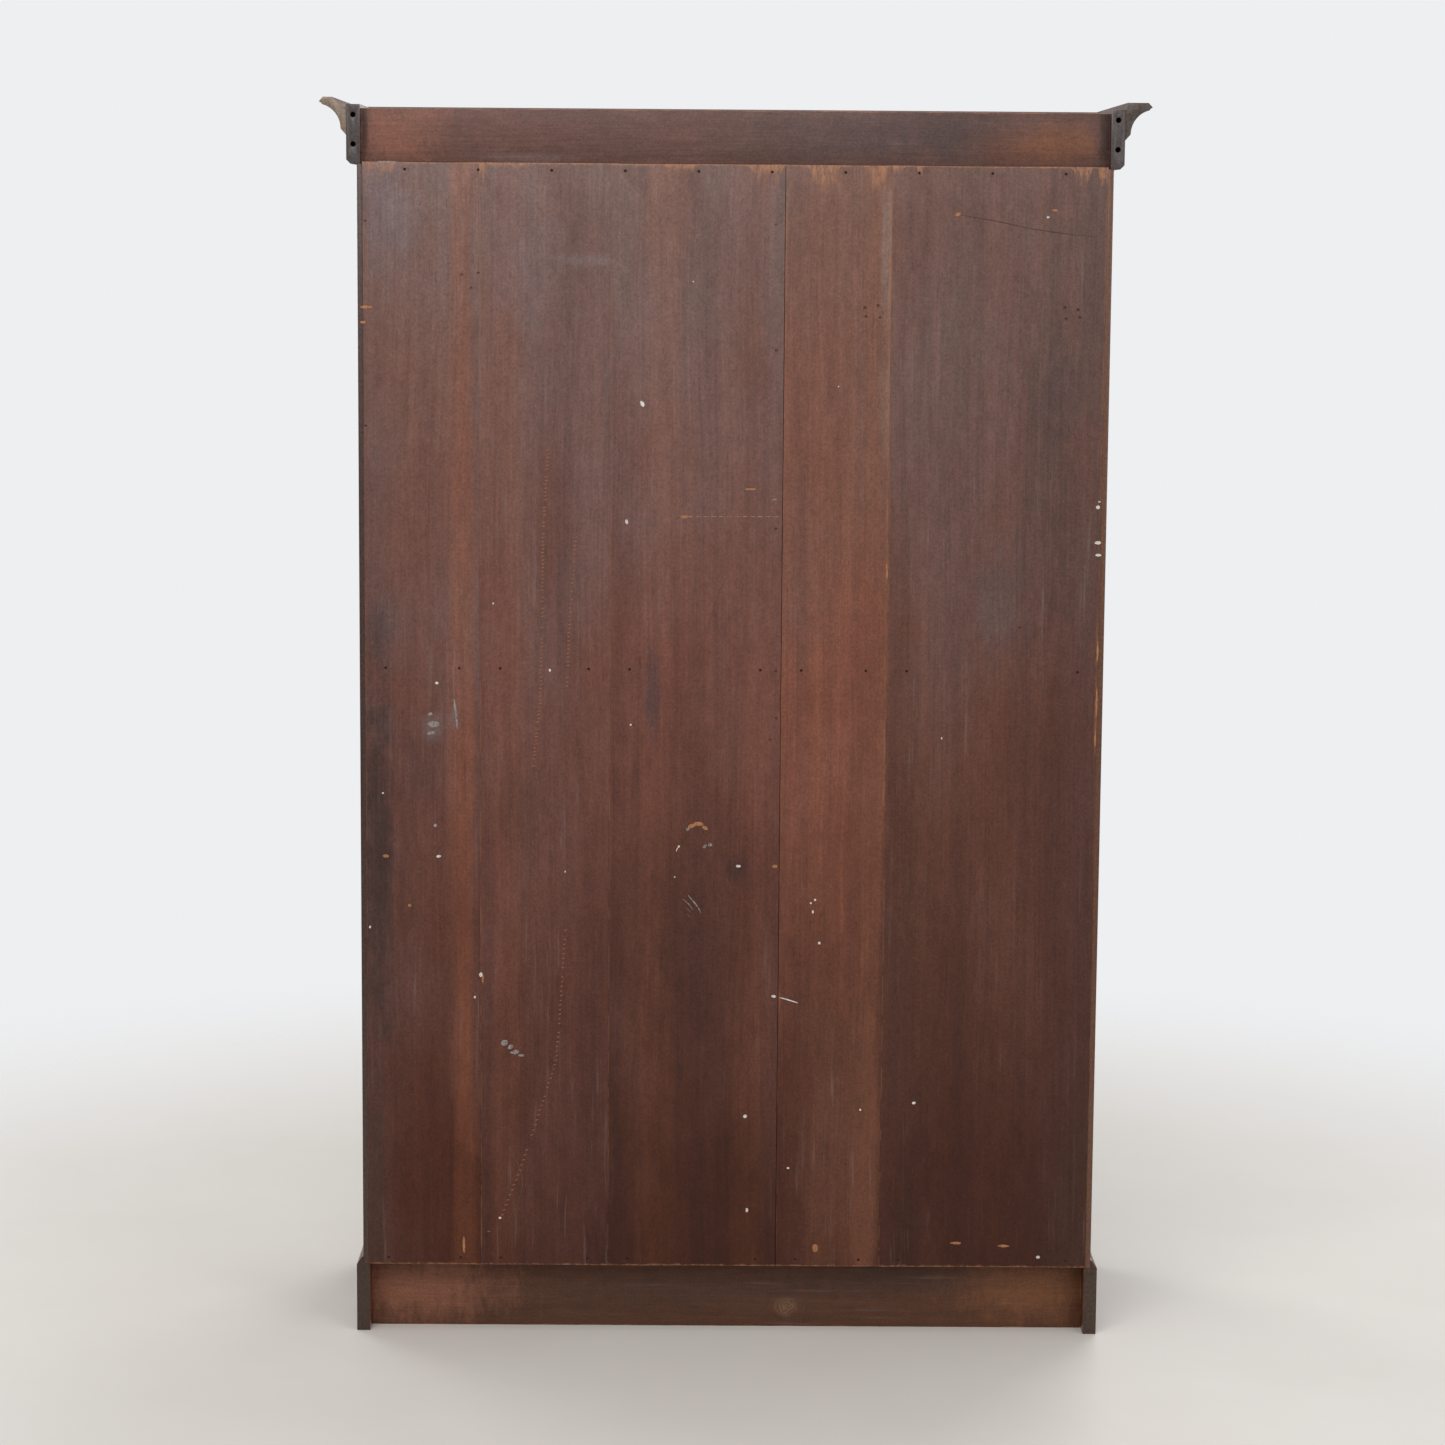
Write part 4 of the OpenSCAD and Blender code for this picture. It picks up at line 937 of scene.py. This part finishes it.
endTones = {"dark": ("473f3d", "5b5250"), "pale": ("96826f", "7c6a5b"), "brown": ("5e5146", "3c332e")}
woodParts = {
    "cornice_back_rail": {
        "kind": "aged", "seed": 21.0, "low": "5b433c", "high": "6e5047", "bottomZ": 1.70, "topZ": 1.90,
        "coarse": 22.0, "wearWidth": 0.0018, "wear": 0.55, "paintedSheenAmount": 0.2, "marginAmount": 0.0,
        "smudgesAndShadows": [
            (0.49, 1.78, 0.10, 0.06, 0.85, "8f5f4e"), (0.36, 1.785, 0.16, 0.04, 0.4, "775045"),
            (-0.30, 1.79, 0.13, 0.05, 0.6, "4e3d3a"), (0.30, 1.745, 0.09, 0.008, 0.3, "8a7a78"),
            (-0.41, 1.765, 0.09, 0.035, 0.6, "764c3c"), (-0.47, 1.77, 0.08, 0.04, 0.7, "85573f"),
            (0.05, 1.79, 0.14, 0.03, 0.35, "6d4c41"), (-0.15, 1.78, 0.22, 0.05, 0.5, "584948"),
            # painted shadows that the frieze ends cast on the ends of the rail
            (-0.533, 1.79, 0.012, 0.08, 0.9, "42312d"), (0.536, 1.79, 0.008, 0.08, 0.8, "3d2c28"),
        ],
    },
    "plinth_back": {
        "kind": "aged", "seed": 25.0, "low": "5f3e2d", "middle": "5f3e2d", "high": "5f3e2d", "coarse": 20.0,
        "wearWidth": 0.0015, "paintedSheenAmount": 0.12, "marginAmount": 0.0,
        "knots": [(-0.091, 0.031, 0.024, 0.018)],
        "smudgesAndShadows": [
            (0.47, 0.06, 0.17, 0.08, 0.85, "93604a"), (-0.46, 0.06, 0.15, 0.08, 0.75, "865637"),
            (0.05, 0.06, 0.3, 0.03, 0.35, "45362e"), (-0.25, 0.07, 0.2, 0.03, 0.35, "3f302a"),
        ],
    },
    "glue_blocks": {"kind": "raw", "seed": 31.0},
    "shelf_racks": {"kind": "raw", "seed": 33.0},
    "shelf_rests": {"kind": "raw", "seed": 35.0},
    "frieze_side_left": {"kind": "polish", "seed": 41.0, "endGrain": endTones["dark"], "wear": 0.4},
    "frieze_side_right": {"kind": "polish", "seed": 42.0, "endGrain": endTones["dark"], "wear": 0.4},
    "crown_side_left": {"kind": "polish", "seed": 43.0, "endGrain": endTones["brown"], "wear": 0.4},
    "crown_side_right": {"kind": "polish", "seed": 44.0, "endGrain": endTones["pale"], "wear": 0.4},
    "plinth_side_left": {"kind": "polish", "seed": 45.0, "endGrain": ("37271f", "55402f")},
    "plinth_side_right": {"kind": "polish", "seed": 46.0, "endGrain": ("35261f", "4d392c")},
    "side_left": {"kind": "polish", "seed": 47.0, "endGrain": ("5c3f31", "7b4f37"), "wearWidth": 0.0025},
    "side_right": {"kind": "polish", "seed": 48.0, "endGrain": ("3c2a25", "573d31"), "wearWidth": 0.0025},
}


def makeWoodPart(node):
    ownSeed = 50.0 + len(node) * 3.1 + sum(map(ord, node)) % 17  # so that no two parts have the same figure
    look = woodParts.get(node, {"kind": "polish", "seed": ownSeed})
    low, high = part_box(node)
    piece = takeNode(node, node + "_finished")
    roundEdges(piece, woodArris)
    makers = {"aged": agedWood, "raw": rawWood, "polish": polishedWood}
    material = makers[look["kind"]](node + "Wood", look, low, high, longAxis(node))
    return finishPiece(piece, material, bodyOf[node], [node])


def makeCarcass():
    for node, slotName in slotOf.items():
        if slotName in ("mahogany", "secondary_wood"):
            makeWoodPart(node)
    print("carcass, shelves and doors made")


makeCarcass()


# A small bead that frames the glass on the face of each door
doorBead = {"width": 0.0065, "back": 0.0006, "round": 0.0022, "seed": 71.0, "wear": 0.3}


def makeDoorBead(door):
    rails = [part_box(door + "_bottom_rail"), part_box(door + "_top_rail")]
    stiles = [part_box(door + "_hinge_stile"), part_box(door + "_meeting_stile")]
    stiles.sort(key=lambda box: box[0].x)
    left, right = stiles[0][1].x, stiles[1][0].x
    bottom, top = rails[0][1].z, rails[1][0].z
    front = stiles[0][0].y + doorBead["back"]
    deselectAll()
    bpy.ops.mesh.primitive_plane_add(size=1, location=((left + right) / 2, front, (bottom + top) / 2),
                                     rotation=(math.pi / 2, 0, 0))
    bead = bpy.context.object
    bead.name = door + "_glass_bead"
    bead.scale = (right - left, top - bottom, 1)
    settle(bead)
    editAll(bead)
    bpy.ops.mesh.inset(thickness=doorBead["width"])
    bpy.ops.mesh.delete(type="FACE")
    bpy.ops.mesh.select_all(action="SELECT")
    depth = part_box(door + "_glass")[0].y - front
    bpy.ops.mesh.extrude_region_move(TRANSFORM_OT_translate={"value": (0, depth, 0)})
    bpy.ops.mesh.select_all(action="SELECT")
    bpy.ops.mesh.normals_make_consistent(inside=False)
    endEdit()
    roundEdges(bead, doorBead["round"], 4)
    low, high = sizeOf(bead)
    look = {"seed": doorBead["seed"] + left, "wear": doorBead["wear"]}
    material = polishedWood(door + "BeadWood", look, low, high)
    return finishPiece(bead, material, bodyOf[door + "_glass"])


for door in ("door_left", "door_right"):
    makeDoorBead(door)
print("door beads made")


# Metal parts and glass
arrises = {"metal": 0.0002, "glass": 0.0004}


def makeMetalPart(node, material, arris):
    piece = takeNode(node, node + "_finished")
    roundEdges(piece, arris, angle=40, smooth=45)
    return finishPiece(piece, material, bodyOf[node], [node])


for node, slotName in slotOf.items():
    if slotName == "brass":
        makeMetalPart(node, brass, arrises["metal"])
    elif slotName == "steel" and node != "back_nails":
        makeMetalPart(node, steel, arrises["metal"])
    elif slotName == "glass":
        makeMetalPart(node, oldGlass, arrises["glass"])
print("metalwork and glass made")


# Floor, light and camera
stageLook = {"floor": "f2ede6", "floorCloud": "e7e1d9", "floorRadius": 5.0, "fadeStart": 0.95,
             "fadeEnd": 2.6, "backdrop": 0.88, "fill": 0.30}
softLights = [  # place, aim, width, height, power
    ((0.9, 3.0, 3.6), (0.0, 0.2, 1.35), 2.2, 1.4, 57),
    ((0.0, 0.4, 3.9), (0.0, 0.5, 0.0), 4.0, 4.0, 45),
    ((-2.4, 3.6, 2.2), (0.0, 0.2, 1.0), 1.4, 1.8, 22),
    ((-1.8, -3.8, 2.9), (0.0, -0.2, 1.0), 2.4, 2.0, 60),
    ((2.6, -2.6, 2.2), (0.0, -0.2, 0.9), 1.6, 2.0, 30),
]
view = {"place": (0.0468, 5.4919, 1.6403), "lens": 90.13, "down": 7.7088, "turn": 0.3674, "roll": 0.4247}


def makeStage():
    deselectAll()
    bpy.ops.mesh.primitive_circle_add(vertices=96, radius=stageLook["floorRadius"], fill_type="NGON")
    floor = bpy.context.object
    floor.name = "floor"
    material, tree, shader, place = newMaterial("paleFloor")
    cloud = pattern(tree, "floorCloud", place["Object"], 1.0)
    floorColour = blendColour(tree, cloud, tone(stageLook["floor"]), tone(stageLook["floorCloud"]))
    setColour(tree, shader, floorColour)
    shader.inputs["Roughness"].default_value = 0.55
    far = addNode(tree, "VectorMath", {0: place["Object"]}, operation="LENGTH").outputs["Value"]
    seen = ramp(tree, far, stageLook["fadeStart"], stageLook["fadeEnd"], 1.0, 0.0)
    tree.links.new(seen, shader.inputs["Alpha"])
    floor.data.materials.append(material)

    world = bpy.data.worlds.new("softRoom")
    bpy.context.scene.world = world
    world.use_nodes = True
    tree = world.node_tree
    background = tree.nodes["Background"]
    background.inputs["Color"].default_value = (0.97, 0.98, 1.0, 1.0)
    path = addNode(tree, "LightPath")
    # the room is seen bright, also through the glass, but lights the cabinet softly
    seen = calc(tree, "MAXIMUM", path.outputs["Is Camera Ray"], path.outputs["Is Transmission Ray"])
    strength = ramp(tree, seen, 0.0, 1.0, stageLook["fill"], stageLook["backdrop"], smooth=False)
    tree.links.new(strength, background.inputs["Strength"])

    for i, (place, aim, width, tall, power) in enumerate(softLights):
        deselectAll()
        bpy.ops.object.light_add(type="AREA", location=place)
        lamp = bpy.context.object
        lamp.name = "softbox_%d" % (i + 1)
        lamp.data.shape = "RECTANGLE"
        lamp.data.size = width
        lamp.data.size_y = tall
        lamp.data.energy = power
        lamp.rotation_euler = (Vector(aim) - Vector(place)).to_track_quat("-Z", "Y").to_euler()

    bpy.ops.object.camera_add()
    camera = bpy.context.object
    camera.data.lens = view["lens"]
    camera.data.sensor_width = 36
    turn = Matrix.Rotation(math.radians(180 - view["turn"]), 4, "Z")
    tilt = Matrix.Rotation(math.radians(90 - view["down"]), 4, "X")
    roll = Matrix.Rotation(math.radians(view["roll"]), 4, "Z")
    camera.matrix_world = Matrix.Translation(view["place"]) @ turn @ tilt @ roll
    bpy.context.scene.camera = camera
    bpy.context.scene.view_settings.view_transform = "Standard"
    print("stage made")


makeStage()
